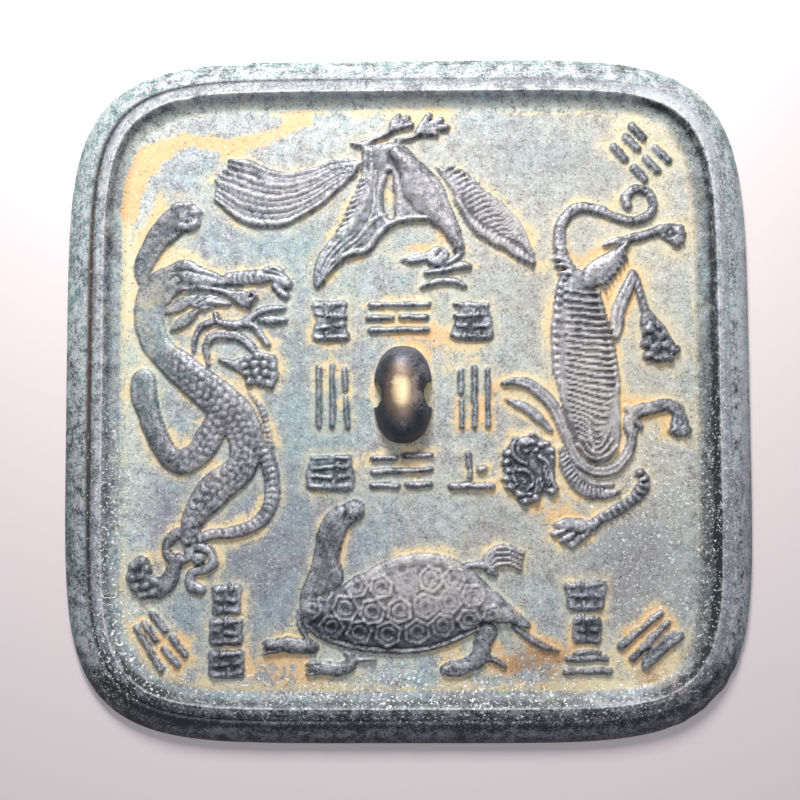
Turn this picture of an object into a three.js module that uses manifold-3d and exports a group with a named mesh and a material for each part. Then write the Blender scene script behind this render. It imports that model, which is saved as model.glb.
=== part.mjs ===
// An old square mirror cast in one piece of bronze, lying on its polished face with its
// decorated back up. A raised rim frames a flat field, a pierced knob for a cord stands in
// the middle, and four beasts, the trigrams and two columns of worn marks stand in relief.
//
// Millimetres, +Z up. The origin is the middle of the polished face, which is the underside.
import * as THREE from 'three';
import { mergeVertices } from 'three/addons/utils/BufferGeometryUtils.js';
import Module from 'manifold-3d';

const wasm = await Module();
wasm.setup();
const { Manifold, Mesh } = wasm;

// The casting
const side = 160; // across the outline, edge to edge
const outlinePower = 5.4; // how square the outline is: 2 would be a circle
const lipThickness = 1.6; // the outer edge
const edgeChamfer = 0.4; // takes the sharp corner off the polished face
const fieldThickness = 2.8; // the plate between the rims
const rimHeight = 6.0; // the ridge, above the polished face

// The rim's bands, measured inwards from the edge one after the other
const outerBandWidth = 5.1; // the band that slopes up from the edge
const creviceWidth = 0.8; // the narrow line between the two bands
const creviceDepth = 0.5;
const upperBandWidth = 3.2; // from the crevice to the ridge
const upperBandFall = 0.8; // how much lower its outer side is
const innerSlopeWidth = 2.3; // from the ridge down towards the field
const filletWidth = 1.2; // where the slope runs out into the field

// The knob and the hole that its cord goes through, which runs along X
const cordHoleWidth = 5.8;
const cordHoleHeight = 5.8; // a half-round top over upright sides
const knobCrown = 2.6; // metal over the hole
const knobFoot = 8.3; // metal on each side of the hole
const knobWidth = 13.8; // along the hole
const knobFullness = { plan: 2.4, along: 2.05, across: 2.8 }; // 2 would be an ellipse

// Heights above the field
const beastHeight = 1.7;
const limbHeight = 1.3;
const thinHeight = 1.0;
const barHeight = 0.9;
const markPadHeight = 0.55;
const markHeight = 0.95;
const carvingDepth = 0.35; // how far stripes and shell plates stand out of a body

// Half-widths of the finest strokes
const barHalfWidth = 0.7;
const markHalfWidth = 0.5;

// A trigram: three bars, side by side
const barLength = 13.4;
const barSpacing = 3.1;
const barGap = 1.6; // in the middle of a broken bar

// The relief is drawn in units on a field that is 2 * drawnReach of them wide, so that a
// figure keeps its proportions on a mirror of another size
const drawnReach = 67.4;
const rimWidth = outerBandWidth + creviceWidth + upperBandWidth + innerSlopeWidth + filletWidth;
const unit = (side / 2 - rimWidth) / drawnReach;
const knobAt = [-0.8, 0.3];
const sink = 0.6; // how deep a figure is rooted in the plate
const footSpread = 0.35; // how far a figure's foot reaches past its flank
const endTaper = 0.6; // how wide a stroke still is at its ends
const endFall = 0.7; // and how high

// Facets
const outlineSteps = 12; // a side of the outline
const bodySteps = 2; // a stretch of a body between two drawn points
const limbSteps = 1; // the same on anything thinner

// Triangles that close a flat ring, found on the plane that it faces most
function lidOf(ring) {
  const points = ring.map((p) => new THREE.Vector3(...p));
  const facing = new THREE.Vector3();
  points.forEach((p, i) => {
    const q = points[(i + 1) % points.length];
    facing.add(p.clone().sub(points[0]).cross(q.clone().sub(points[0])));
  });
  const sizes = facing.toArray().map(Math.abs);
  const along = sizes.indexOf(Math.max(...sizes));
  const loop = ring.map((p) => new THREE.Vector2(p[(along + 1) % 3], p[(along + 2) % 3]));
  const faces = THREE.ShapeUtils.triangulateShape(loop, []);
  return THREE.ShapeUtils.isClockWise(loop) ? faces.map(([a, b, c]) => [a, c, b]) : faces;
}

// Turns rings of points into a closed solid
function loft(rings) {
  const count = rings[0].length;
  const top = (rings.length - 1) * count;
  const faces = [];
  for (let i = 0; i < count; i++) {
    const j = (i + 1) % count;
    for (let low = 0; low < top; low += count) {
      const high = low + count;
      faces.push(low + i, low + j, high + j, low + i, high + j, high + i);
    }
  }
  const lid = lidOf(rings.at(-1));
  const floor = lidOf(rings[0]).map(([a, b, c]) => [a, c, b]);
  faces.push(...floor.flat(), ...lid.map((face) => face.map((i) => top + i)).flat());
  const positions = rings.flat(2);
  const solid = solidOf(positions, faces);
  return solid.volume() > 0 ? solid : solidOf(positions, faces.reverse());
}

function solidOf(positions, faces) {
  const geometry = new THREE.BufferGeometry();
  geometry.setAttribute('position', new THREE.Float32BufferAttribute(positions, 3));
  geometry.setIndex(faces);
  return solidFrom(geometry);
}

function solidFrom(geometry) {
  geometry.deleteAttribute('normal');
  geometry.deleteAttribute('uv');
  const merged = mergeVertices(geometry, 1e-5);
  return new Manifold(
    new Mesh({
      numProp: 3,
      vertProperties: new Float32Array(merged.attributes.position.array),
      triVerts: new Uint32Array(merged.index.array),
    })
  );
}

// One turn of the outline, drawn in by a distance, at a height
function outline(inset, z) {
  const half = side / 2;
  const corner = half / 2 ** (1 / outlinePower);
  const reach = half - inset;
  const power = Math.log(0.5) / Math.log((corner - inset * Math.SQRT1_2) / reach);
  const ring = [];
  for (let turn = 0; turn < 4; turn++) {
    for (let i = 0; i < outlineSteps; i++) {
      // each facet turns by the same angle
      const share = (2 * i) / outlineSteps - 1;
      const lean = Math.tan((Math.abs(share) * Math.PI) / 4) ** (1 / (outlinePower - 1));
      const size = reach / (lean ** power + 1) ** (1 / power);
      const [x, y] = [-Math.sign(share) * lean * size, size];
      ring.push([[x, y, z], [-y, x, z], [-x, -y, z], [y, -x, z]][turn]);
    }
  }
  return ring;
}

function plate() {
  const crevice = outerBandWidth + creviceWidth;
  const ridge = crevice + upperBandWidth;
  const shoulder = rimHeight - upperBandFall;
  const creviceFloor = shoulder - creviceDepth;
  const swell = 0.62; // of the rise, reached half-way up the outer band
  const slopeFoot = fieldThickness + 0.2 * (rimHeight - fieldThickness);
  return loft([
    outline(edgeChamfer, 0),
    outline(0, edgeChamfer),
    outline(0, lipThickness),
    outline(outerBandWidth / 2, lipThickness + swell * (creviceFloor - lipThickness)),
    outline(outerBandWidth, creviceFloor + creviceDepth / 2),
    outline(outerBandWidth + creviceWidth / 3, creviceFloor),
    outline(crevice, shoulder),
    outline(ridge, rimHeight),
    outline(ridge + innerSlopeWidth, slopeFoot),
    outline(rimWidth, fieldThickness),
  ]);
}

function knob() {
  const height = cordHoleHeight + knobCrown;
  const [halfX, halfY] = [knobWidth / 2, cordHoleWidth / 2 + knobFoot];
  const around = 18;
  const levels = [-sink / height, 0.25, 0.5, 0.72, 0.88, 0.97];
  const [x0, y0] = knobAt.map((v) => v * unit);
  const { plan, along, across } = knobFullness;
  const body = loft(
    levels.map((level) => {
      const up = Math.max(level, 0);
      const reachX = halfX * (1 - up ** along) ** (1 / along);
      const reachY = halfY * (1 - up ** across) ** (1 / across);
      return Array.from({ length: around }, (_, i) => {
        const turn = (2 * Math.PI * i) / around;
        const [cos, sin] = [Math.cos(turn), Math.sin(turn)];
        const size = (Math.abs(cos) ** plan + Math.abs(sin) ** plan) ** (-1 / plan);
        return [
          x0 + reachX * size * cos,
          y0 + reachY * size * sin,
          fieldThickness + level * height,
        ];
      });
    })
  );
  return body.subtract(cordHole(x0, y0));
}

// Upright sides under a half-round top, right through the knob
function cordHole(x0, y0) {
  const shape = new THREE.Shape();
  const half = cordHoleWidth / 2;
  shape.moveTo(-half, -2 * sink);
  shape.lineTo(half, -2 * sink);
  shape.absarc(0, cordHoleHeight - half, half, 0, Math.PI);
  const length = 1.2 * knobWidth;
  const geometry = new THREE.ExtrudeGeometry(shape, {
    depth: length, bevelEnabled: false, curveSegments: 8,
  });
  geometry.rotateX(Math.PI / 2).rotateZ(Math.PI / 2);
  geometry.translate(x0 - length / 2, y0, fieldThickness);
  return solidFrom(geometry);
}

// A rounded ridge of metal along a curve through [x, y, half-width] points
const roundSection = [[1, -1], [0.86, 0.5], [0.4, 1], [-0.4, 1], [-0.86, 0.5], [-1, -1]];
const sharpSection = [[1, -1], [0.6, 1], [-0.6, 1], [-1, -1]];

function stroke(height, points, section = sharpSection, perSpan = 0) {
  const curve = new THREE.CatmullRomCurve3(
    points.map(([x, y, w]) => new THREE.Vector3(x, y, w)), false, 'centripetal');
  const steps = (points.length - 1) * (perSpan || (section === roundSection ? bodySteps : limbSteps));
  const ring = (i) => {
    const at = curve.getPoint(i / steps);
    const way = curve.getTangent(i / steps).setZ(0).normalize();
    const end = i === 0 || i === steps;
    return section.map(([across, up]) => {
      const spread = up < 0 ? footSpread * Math.sign(across) : 0;
      const out = across * at.z * (end ? endTaper : 1) + spread;
      const rise = up < 0 ? -sink : up * height * (end ? endFall : 1);
      return [(at.x + out * way.y) * unit, (at.y - out * way.x) * unit, fieldThickness + rise];
    });
  };
  const pieces = [];
  for (let i = 0; i < steps; i++) pieces.push(loft([ring(i), ring(i + 1)]));
  return Manifold.union(pieces);
}

// Strokes laid side by side between two edges, such as the feathers of a wing
function fan(height, count, from, to) {
  const feathers = [];
  for (let i = 0; i < count; i++) {
    const share = i / (count - 1);
    const points = from.map(([x, y], k) => {
      const gap = Math.hypot(to[k][0] - x, to[k][1] - y) / (count - 1);
      return [x + share * (to[k][0] - x), y + share * (to[k][1] - y), Math.max(0.5, gap * 0.54)];
    });
    feathers.push(stroke(height, points));
  }
  return Manifold.union(feathers);
}

// A low dome over a closed outline of [x, y] points
function dome(height, points, shares, curved = true) {
  const at = [0, 1].map((i) => points.reduce((sum, p) => sum + p[i], 0) / points.length);
  const curve = new THREE.CatmullRomCurve3(
    points.map(([x, y]) => new THREE.Vector3(x, y, 0)), true, 'centripetal');
  const line = curved ? curve.getPoints(points.length * bodySteps).slice(0, -1) : curve.points;
  return loft(
    shares.map(([share, rise]) =>
      line.map((p) => [
        (at[0] + share * (p.x - at[0])) * unit,
        (at[1] + share * (p.y - at[1])) * unit,
        fieldThickness + (rise < 0 ? -sink : rise * height),
      ])
    )
  );
}

const domeShares = [[1, -1], [0.92, 0.6], [0.55, 1]];

function oval(height, x, y, rx, ry, turnDegrees = 0, count = 4) {
  const turn = THREE.MathUtils.degToRad(turnDegrees);
  const points = Array.from({ length: count }, (_, i) => {
    const a = (2 * Math.PI * i) / count;
    const [px, py] = [rx * Math.cos(a), ry * Math.sin(a)];
    return [
      x + px * Math.cos(turn) - py * Math.sin(turn),
      y + px * Math.sin(turn) + py * Math.cos(turn),
    ];
  });
  return dome(height, points, domeShares);
}

// A paw whose toes bulge towards one side
function paw(x, y, size, turnDegrees) {
  const edge = [
    [-95, 0.95], [-52, 1.15], [-26, 0.85], [0, 1.15], [26, 0.85], [52, 1.15], [95, 0.95], [180, 0.8],
  ];
  const points = edge.map(([degrees, reach]) => {
    const turn = THREE.MathUtils.degToRad(degrees + turnDegrees);
    return [x + size * reach * Math.cos(turn), y + size * reach * Math.sin(turn)];
  });
  return dome(limbHeight, points, domeShares, false);
}

// Toes that spread from a point, as on a bird's or a beast's foot
function toes(height, x, y, turnDegrees, length, count, spreadDegrees, width) {
  const parts = [];
  for (let i = 0; i < count; i++) {
    const turn = THREE.MathUtils.degToRad(turnDegrees + (i - (count - 1) / 2) * spreadDegrees);
    parts.push(stroke(height, [
      [x, y, width],
      [x + 0.6 * length * Math.cos(turn), y + 0.6 * length * Math.sin(turn), width],
      [x + length * Math.cos(turn), y + length * Math.sin(turn), width * 0.5],
    ]));
  }
  return Manifold.union(parts);
}

function dragon() {
  return [
    stroke(beastHeight, [
      [-47, 27.5, 2], [-53, 28, 3.2], [-58.2, 23, 3], [-58.3, 15, 3.2], [-53, 7.5, 3.6],
      [-45.5, 2, 4], [-39.3, -3.8, 4.3], [-37, -10.5, 3.8], [-39.5, -16.5, 3.3],
      [-45.5, -22, 3.4], [-49.3, -27.5, 2.6], [-50, -32, 1.8],
    ], roundSection),
    // the tail, which loops round the far hind leg
    stroke(limbHeight, [
      [-33.6, -9, 2.2], [-31.4, -20, 1.9], [-35.4, -29.4, 1.8], [-43, -31.9, 1.6], [-50, -32.6, 1.4],
    ], sharpSection, 2),
    stroke(thinHeight, [
      [-49, -30.6, 1.2], [-54.6, -32.6, 1.3], [-54.8, -37.4, 1.2], [-50.6, -37.6, 1.2],
      [-46.2, -35.6, 1.3], [-46.4, -39.2, 1.2], [-49.8, -41.8, 1.2], [-47.4, -44.6, 1.3],
    ]),
    // the near foreleg
    stroke(limbHeight, [[-54, 42, 2.6], [-58.4, 37.6, 2.3], [-61.4, 32.6, 1.9], [-61.8, 28, 1.7]]),
    paw(-52.4, 43.2, 3.4, 30),
    // the leg that bends under the body
    stroke(limbHeight, [
      [-61.4, 3.2, 2.6], [-59.6, -4, 2.7], [-56.6, -11, 2.6], [-51.8, -15.8, 2.8], [-46.6, -11.4, 3],
      [-43.6, -5, 2.8],
    ], roundSection),
    // the hind foot
    stroke(limbHeight, [[-54.6, -38, 1.4], [-55.2, -41.5, 1.9], [-58.5, -43.4, 2.2]]),
    paw(-61, -40.8, 3.8, 120),
    // the mane, drawn back from the head
    stroke(limbHeight, [[-56, 29, 1.4], [-52, 31, 1.7], [-46.5, 29, 1.7], [-42.5, 26, 1]]),
    stroke(thinHeight, [[-54.5, 21.4, 0.8], [-51.8, 21.8, 1.4], [-49.5, 21.4, 0.7]]),
    stroke(thinHeight, [[-54.3, 16.8, 0.7], [-51.5, 18, 1.3], [-48.8, 19.4, 0.6]]),
    // the open jaws, tongue and beard
    stroke(limbHeight, [[-53, 25, 0.9], [-45.5, 25, 1.5], [-40, 23.6, 1.6], [-36, 22, 1.3]]),
    stroke(thinHeight, [[-51, 21.8, 0.6], [-47.8, 21, 0.8], [-44.2, 21.4, 0.8], [-41, 23, 0.6]]),
    stroke(thinHeight, [
      [-45, 19.6, 0.6], [-43.4, 17.6, 0.8], [-39, 17.4, 0.9], [-35.6, 19.4, 0.8], [-29, 20.8, 0.5],
    ]),
    stroke(thinHeight, [[-34, 17.8, 0.6], [-31.2, 17.8, 1.1], [-28.4, 17.8, 0.5]]),
    stroke(thinHeight, [[-38, 17.4, 0.7], [-35, 16.4, 0.8], [-32.6, 12.3, 0.6]]),
    stroke(thinHeight, [[-49, 10.6, 0.5], [-48.4, 15, 0.8], [-45.8, 17.8, 0.7], [-42.5, 17.6, 0.7]]),
    stroke(thinHeight, [
      [-46.3, 8, 0.6], [-46.2, 12.4, 0.8], [-44, 14.8, 0.8], [-38, 14.4, 0.9], [-34.8, 10.4, 0.6],
    ]),
    // the raised claw over the head, and the one under it
    stroke(limbHeight, [[-42, 27.4, 1.6], [-39.5, 27.7, 2.3], [-34, 28.2, 2], [-29.6, 27.4, 1.9]]),
    toes(thinHeight, -30.6, 27.8, -25, 4.6, 3, 38, 0.9),
    stroke(limbHeight, [[-44, 8.6, 1.2], [-39, 7, 2], [-35, 6.2, 2.8]]),
    fan(thinHeight, 4, [[-38, 8.4], [-34, 10], [-30, 9.6]], [[-37, 3.6], [-33.4, 2], [-29.6, 2.8]]),
  ];
}

function bird() {
  return [
    // the tail and the two wings
    fan(limbHeight, 6,
      [[-10.5, 55.2], [-18, 54.2], [-27, 52], [-36, 54.6], [-45, 53.4]],
      [[-11.5, 52], [-20, 45], [-29, 40.8], [-38, 42], [-46, 48.6]]),
    fan(limbHeight, 6,
      [[8, 53.6], [16, 50.2], [24, 45.2], [29.2, 38.6], [30, 32.4]],
      [[9.6, 49], [13.6, 42.8], [18.6, 37.4], [24, 34.2], [29.2, 31.6]]),
    fan(limbHeight, 4,
      [[-10.6, 50], [-14.6, 42.4], [-20.4, 35.6], [-21.4, 27]],
      [[-5.6, 41.6], [-10.4, 34.6], [-16, 32], [-20, 25.4]]),
    // the body with its neck, and the shoulder beside it
    stroke(beastHeight, [
      [-2.6, 57, 2.2], [1.2, 51.5, 3.9], [5, 46.4, 4.6], [8.8, 42.4, 3.2], [11.9, 38.6, 1.7],
      [12.8, 34.6, 1.2],
    ], roundSection),
    stroke(limbHeight, [[-2.6, 52, 0.8], [-2.2, 45, 1], [3, 41.8, 1], [8.4, 41, 1]]),
    stroke(limbHeight, [[-8.6, 58, 1.4], [-8.2, 54, 2.6], [-8.8, 49, 2.7], [-7, 44, 2]]),
    stroke(limbHeight, [[-6, 57.4, 1.6], [0, 57.6, 1.7], [4.6, 54, 1.4]]),
    // the legs
    stroke(thinHeight, [[-12.6, 59, 0.6], [-9, 60, 1.1], [-4, 62, 0.8]]),
    toes(thinHeight, -3.6, 62, 42, 5.4, 3, 30, 0.9),
    stroke(thinHeight, [[-1.4, 57.4, 0.8], [-1, 60, 0.9], [4.4, 62.2, 0.8]]),
    toes(thinHeight, 4, 62, 32, 5.8, 3, 28, 0.95),
    // the head, bill and wattles
    stroke(thinHeight, [[12.6, 33, 0.9], [8.4, 33.8, 1.3], [4.4, 32.9, 1], [-0.8, 31.8, 0.6]]),
    stroke(thinHeight, [[4.8, 31, 0.6], [8.6, 31.4, 0.9], [12, 32.6, 0.7]]),
    stroke(thinHeight, [[4.4, 29.2, 0.5], [9, 29.8, 0.7], [14.4, 31, 0.6]]),
    stroke(thinHeight, [[3.8, 25.6, 0.5], [8.6, 27, 0.7], [13.6, 25.8, 0.5]]),
  ];
}

function tiger() {
  const stripes = 10;
  const parts = [
    stroke(beastHeight, [
      [39.8, 25, 4], [40.2, 19, 5.4], [40.8, 10, 7.1], [42.6, 1, 7], [44.4, -7, 6], [44.9, -12.5, 4.4],
    ], roundSection),
    // the tail
    stroke(limbHeight, [
      [38.4, 27.4, 1.6], [35.8, 35, 1.4], [37.8, 42.4, 1.4], [45, 42.6, 1.4],
      [53, 40.2, 1.3], [57.6, 44, 1.3], [54, 48.2, 1.2], [51.4, 44.6, 1.1],
    ], sharpSection, 2),
    // the hind legs
    stroke(limbHeight, [
      [42.5, 26.6, 2.6], [46, 29, 3.1], [49.6, 32, 2.1], [51.6, 35.6, 1.3],
    ], roundSection),
    stroke(limbHeight, [[46, 35.2, 0.8], [52, 36.4, 1.3], [57.6, 38, 1.3], [60.6, 38.2, 1.6]]),
    paw(62.4, 37.2, 2.8, -20),
    stroke(limbHeight, [[48.6, 14, 1.4], [50, 19, 2.1], [52.4, 25, 1.7], [53.2, 28.4, 1.1]]),
    stroke(limbHeight, [[53, 28, 1.2], [54.8, 22, 1.2], [56.4, 16, 1.6]]),
    paw(58.4, 12.2, 3.5, -50),
    // the band that runs from the flame at the shoulder, under the chest, to the foreleg
    stroke(limbHeight, [
      [22.6, 3, 0.8], [27.6, 3.2, 1.3], [32.4, 0, 1.4], [35.8, -6, 1.3], [38.4, -13.4, 1.3],
      [43.6, -17.6, 1.4], [49.4, -15.8, 1.4], [51.8, -10, 1.5], [52.6, -5.6, 1.5],
    ]),
    stroke(thinHeight, [[23, -1, 0.6], [28, -3.2, 1.3], [33.4, -8.4, 0.8]]),
    stroke(limbHeight, [[36, -12.6, 1.2], [37.6, -18.6, 1.7], [42, -22, 1.8], [49, -21.6, 1.3]]),
    // the forelegs
    stroke(limbHeight, [[51.6, -4.6, 1.7], [56, -3, 1.6], [60.8, -2.4, 1.5], [63.4, -5.4, 1.8]]),
    paw(62.8, -7.2, 2.9, -90),
    stroke(limbHeight, [
      [53.8, -18.2, 1.4], [54.4, -21.8, 1.6], [50.4, -25.8, 1.6], [44.6, -29, 1.6], [40, -30.6, 2.2],
    ]),
    paw(38.2, -31.4, 2.7, 200),
    toes(thinHeight, 37.6, -31.4, 215, 4.4, 3, 38, 0.9),
    // the head
    dome(beastHeight, [
      [24, -10.4], [28.4, -8.8], [32.8, -10.2], [35.2, -14], [34.8, -20.6], [31.4, -23.6], [27.4, -25.6],
      [24.4, -23.2], [21.4, -19.4], [21.6, -14.4],
    ], domeShares, false),
    // the curls of the mane, and the eye
    ...[0, 1, 2].map((i) => stroke(beastHeight + carvingDepth, [
      [23.4 + 3.2 * i, -13.4 + 1.2 * i, 0.5],
      [26.4 + 2.6 * i, -14.4 + 0.6 * i, 0.6],
      [28.4 + 2 * i, -17 - i, 0.4],
    ])),
    oval(beastHeight + carvingDepth, 26.8, -20, 1.1, 1),
  ];
  for (let i = 0; i < stripes; i++) {
    const share = i / (stripes - 1);
    const y = 21.5 - 33 * share;
    const x = 40.6 + 4.4 * share ** 1.4;
    const bend = 0.4 + 2.2 * share ** 2;
    parts.push(stroke(beastHeight + carvingDepth, [
      [x - 3.6, y + bend * 0.6, 0.45], [x + 0.4, y - bend * 0.4, 0.5], [x + 4.6, y + bend - 1.4, 0.35],
    ]));
  }
  return parts;
}

function tortoise() {
  const shell = [
    [-25, -48.5], [-20.5, -54.6], [-11, -57.8], [0, -58.8], [9, -57], [17, -53.4], [28.6, -52.6],
    [23.6, -47.6], [18, -42.4], [11.6, -38.2], [3, -35.9], [-5, -37.4], [-11, -41.2], [-17, -43.6],
  ];
  const parts = [
    dome(beastHeight, shell, [[1, -1], [0.985, 0.55], [0.9, 0.7], [0.6, 0.95], [0.3, 1]]),
    // the neck and head
    stroke(beastHeight, [
      [-23, -49, 2.2], [-21.8, -43, 2.6], [-19.6, -36, 2.5], [-18.4, -30.4, 2.7], [-15.6, -27.6, 2.5],
      [-11.8, -26.6, 2.3],
    ], roundSection),
    // the legs and tail
    stroke(limbHeight, [
      [-25, -50.6, 0.7], [-23.6, -54, 0.8], [-22.4, -57.2, 1.6], [-27, -57.4, 1.9], [-32, -57.6, 1.2],
    ]),
    stroke(limbHeight, [
      [-7, -60.3, 0.5], [-11, -60.8, 1.1], [-14.6, -62.2, 1.7], [-19, -62.6, 1.6], [-23, -62.8, 0.7],
    ]),
    stroke(limbHeight, [[17.8, -53.6, 2.9], [17.6, -58, 2], [14.4, -61.2, 1.6], [9.6, -62.8, 1.9]]),
    stroke(thinHeight, [[17.6, -60, 0.8], [20, -60.6, 0.9], [22.2, -62, 0.6]]),
    stroke(thinHeight, [[13.6, -39.4, 1], [18, -38.8, 1.2], [20.4, -41.4, 0.7]]),
    fan(thinHeight, 3,
      [[18.6, -38], [21.6, -34.8], [26.4, -35.8]],
      [[19.8, -39], [22.4, -37.4], [26.8, -38.8]]),
    stroke(thinHeight, [[24, -53.4, 1], [28.4, -56.8, 1.1], [34.4, -58.8, 0.6]]),
  ];
  // the plates of the shell, in staggered rows
  const plateRadius = 2.7;
  const columnGap = 6.1;
  const rows = [[-53.6, -17.6, 6], [-48.6, -20.4, 8], [-43.6, -11.2, 5], [-38.9, 0.8, 2]];
  rows.forEach(([y, x, count], row) => {
    for (let i = 0; i < count; i++) {
      const atEdge = row === 0 || i === count - 1 || (row === 1 && i === 0);
      const rise = atEdge ? 0.75 : 0.98;
      // the lowest row follows the curve of the shell's edge
      const dip = row === 0 ? 0.12 * (i - 2) ** 2 - 0.8 : 0;
      const corner = (k) => {
        const turn = (Math.PI * k) / 3 + Math.PI / 6;
        return [x + i * columnGap + plateRadius * Math.cos(turn), y + dip + plateRadius * Math.sin(turn)];
      };
      const corners = Array.from({ length: 6 }, (_, k) => corner(k));
      parts.push(dome(beastHeight * rise + carvingDepth, corners, [[1, -1], [0.72, 1]], false));
    }
  });
  return parts;
}

// Three lines across a small square; a broken line has a gap in its middle
function trigram(x, y, turnDegrees, lines) {
  const turn = THREE.MathUtils.degToRad(turnDegrees);
  const place = (along, across) => [
    x + along * Math.cos(turn) - across * Math.sin(turn),
    y + along * Math.sin(turn) + across * Math.cos(turn),
    barHalfWidth,
  ];
  return lines.flatMap((whole, i) => {
    const across = (1 - i) * barSpacing;
    const [end, mid] = [barLength / 2, barGap / 2];
    const ends = whole ? [[-end, end]] : [[-end, -mid], [mid, end]];
    return ends.map(([a, b]) => stroke(barHeight, [place(a, across), place(b, across)]));
  });
}

// A worn mark of the inscription: a low pad with rows of short strokes, which spell nothing
function mark(x, y, width, height, rows) {
  const [halfX, halfY] = [width / 2, height / 2];
  const pad = [
    [x - halfX, y - halfY], [x + halfX, y - halfY], [x + halfX, y + halfY], [x - halfX, y + halfY],
  ];
  const parts = [dome(markPadHeight, pad, [[1, -1], [0.92, 1]], false)];
  const reach = 0.84 * halfX; // of a stroke, from the middle of the pad
  const breakAt = 0.24 * halfX; // every second stroke is broken there
  for (let i = 0; i < rows; i++) {
    const rowY = y + height * ((i + 0.5) / rows - 0.5);
    const [left, right, middle] = [x - reach, x + reach, x + breakAt];
    const broken = [[left, middle - barHalfWidth], [middle + barHalfWidth, right]];
    const ends = i % 2 ? broken : [[left, right]];
    ends.forEach(([from, to]) => {
      parts.push(stroke(markHeight, [[from, rowY, markHalfWidth], [to, rowY, markHalfWidth]]));
    });
  }
  return parts;
}

function inscription() {
  return [
    ...mark(-17.6, 17.4, 8.4, 9, 3),
    ...mark(15.2, 17.4, 9.4, 9, 3),
    ...mark(-17.8, -17.6, 10.6, 8.4, 3),
    ...mark(15.2, -17.2, 9.6, 8.6, 3),
    ...[-46.4, -53.8, -61.2].flatMap((y) => mark(-41.4, y, 7.8, 6.6, 3)),
    ...[-46, -53.8, -61.2].flatMap((y) => mark(40.8, y, 8, 6.6, 3)),
  ];
}

function trigrams() {
  return [
    ...trigram(-1.8, 18.3, 0, [true, false, true]),
    ...trigram(-1.2, -17.5, 3, [false, true, false]),
    ...trigram(-17.4, 0, 90, [true, true, false]),
    ...trigram(15.7, -0.4, 90, [false, true, true]),
    ...trigram(54.6, 57, -48, [false, false, false]),
    ...trigram(55.2, -55.6, 40, [true, true, true]),
    ...trigram(-56.6, -56, -52, [false, false, true]),
  ];
}

const casting = Manifold.union([
  plate(), knob(), ...dragon(), ...bird(), ...tiger(), ...tortoise(), ...trigrams(), ...inscription(),
]);

function geometryOf(solid) {
  const mesh = solid.getMesh();
  const geometry = new THREE.BufferGeometry();
  geometry.setAttribute('position', new THREE.BufferAttribute(mesh.vertProperties, 3));
  geometry.setIndex(new THREE.BufferAttribute(mesh.triVerts, 1));
  geometry.computeVertexNormals();
  return geometry;
}

const bronze = new THREE.MeshStandardMaterial({ color: 0x66696b, roughness: 0.55, metalness: 0.6 });
const mirror = new THREE.Mesh(geometryOf(casting), bronze);
mirror.name = 'mirror';

const model = new THREE.Group();
model.add(mirror);

export default model;
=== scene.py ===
import bpy
import bmesh
import math
import numpy as np
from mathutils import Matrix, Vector


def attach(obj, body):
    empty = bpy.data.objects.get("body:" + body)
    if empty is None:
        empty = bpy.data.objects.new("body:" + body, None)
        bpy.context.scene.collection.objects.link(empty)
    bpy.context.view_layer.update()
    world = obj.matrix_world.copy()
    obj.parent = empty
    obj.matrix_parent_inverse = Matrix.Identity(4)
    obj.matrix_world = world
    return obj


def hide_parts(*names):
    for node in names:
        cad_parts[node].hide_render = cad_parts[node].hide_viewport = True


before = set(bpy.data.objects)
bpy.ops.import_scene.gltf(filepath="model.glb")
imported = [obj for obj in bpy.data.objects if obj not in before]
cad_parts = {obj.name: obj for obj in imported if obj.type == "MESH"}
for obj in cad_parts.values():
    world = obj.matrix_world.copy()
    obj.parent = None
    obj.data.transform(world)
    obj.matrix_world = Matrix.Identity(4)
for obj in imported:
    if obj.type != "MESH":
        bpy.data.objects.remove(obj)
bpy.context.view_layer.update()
print("frame loaded")

# The relief is drawn as tapered ridges, mounds and grooves in millimetres on the field.
# Each point is x, y and half-width; each figure adds its own shapes to the list.
carving = []


def ridge(points, height=1.2, look="plain", pitch=1.4, depth=0.3, fullness=2.4):
    carving.append({"form": "ridge", "points": points, "height": height, "look": look,
                    "pitch": pitch, "depth": depth, "fullness": fullness})


def mound(points, height=1.5, edge=1.6, look="plain", pitch=2.0, depth=0.3):
    carving.append({"form": "mound", "points": points, "height": height, "look": look,
                    "pitch": pitch, "depth": depth, "edge": edge})


def plainRidge(points, height):
    ridge(points, height, "plain", 1, 0, 2.0)


def groove(points, depth=0.4):
    carving.append({"form": "groove", "points": points, "height": 0.0, "depth": depth})


def softNoise(x, y, size, seed):
    lattice = np.random.default_rng(seed).uniform(-1, 1, (61, 61))
    px, py = x / size + 200, y / size + 200
    ix, iy = np.floor(px).astype(int), np.floor(py).astype(int)
    fx, fy = px - ix, py - iy
    fx, fy = fx * fx * (3 - 2 * fx), fy * fy * (3 - 2 * fy)
    ix, iy, jx, jy = ix % 61, iy % 61, (ix + 1) % 61, (iy + 1) % 61
    low = lattice[ix, iy] * (1 - fx) + lattice[jx, iy] * fx
    high = lattice[ix, jy] * (1 - fx) + lattice[jx, jy] * fx
    return low * (1 - fy) + high * fy


def smoothPath(points, closed=False, perSpan=5):
    p = np.array(points, float)
    if closed:
        p = np.vstack([p[-1:], p, p[:2]])
    else:
        p = np.vstack([2 * p[:1] - p[1:2], p, 2 * p[-1:] - p[-2:-1]])
    spans = []
    t = np.linspace(0, 1, perSpan, endpoint=False)[:, None]
    for a, b, c, d in zip(p[:-3], p[1:-2], p[2:-1], p[3:]):
        spans.append(0.5 * (2 * b + (c - a) * t + (2 * a - 5 * b + 4 * c - d) * t**2
                            + (3 * b - a - 3 * c + d) * t**3))
    spans.append(p[-2:-1])
    path = np.vstack(spans)
    if path.shape[1] > 2:
        path[:, 2] = np.maximum(path[:, 2], 0.15)
    return path


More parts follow.
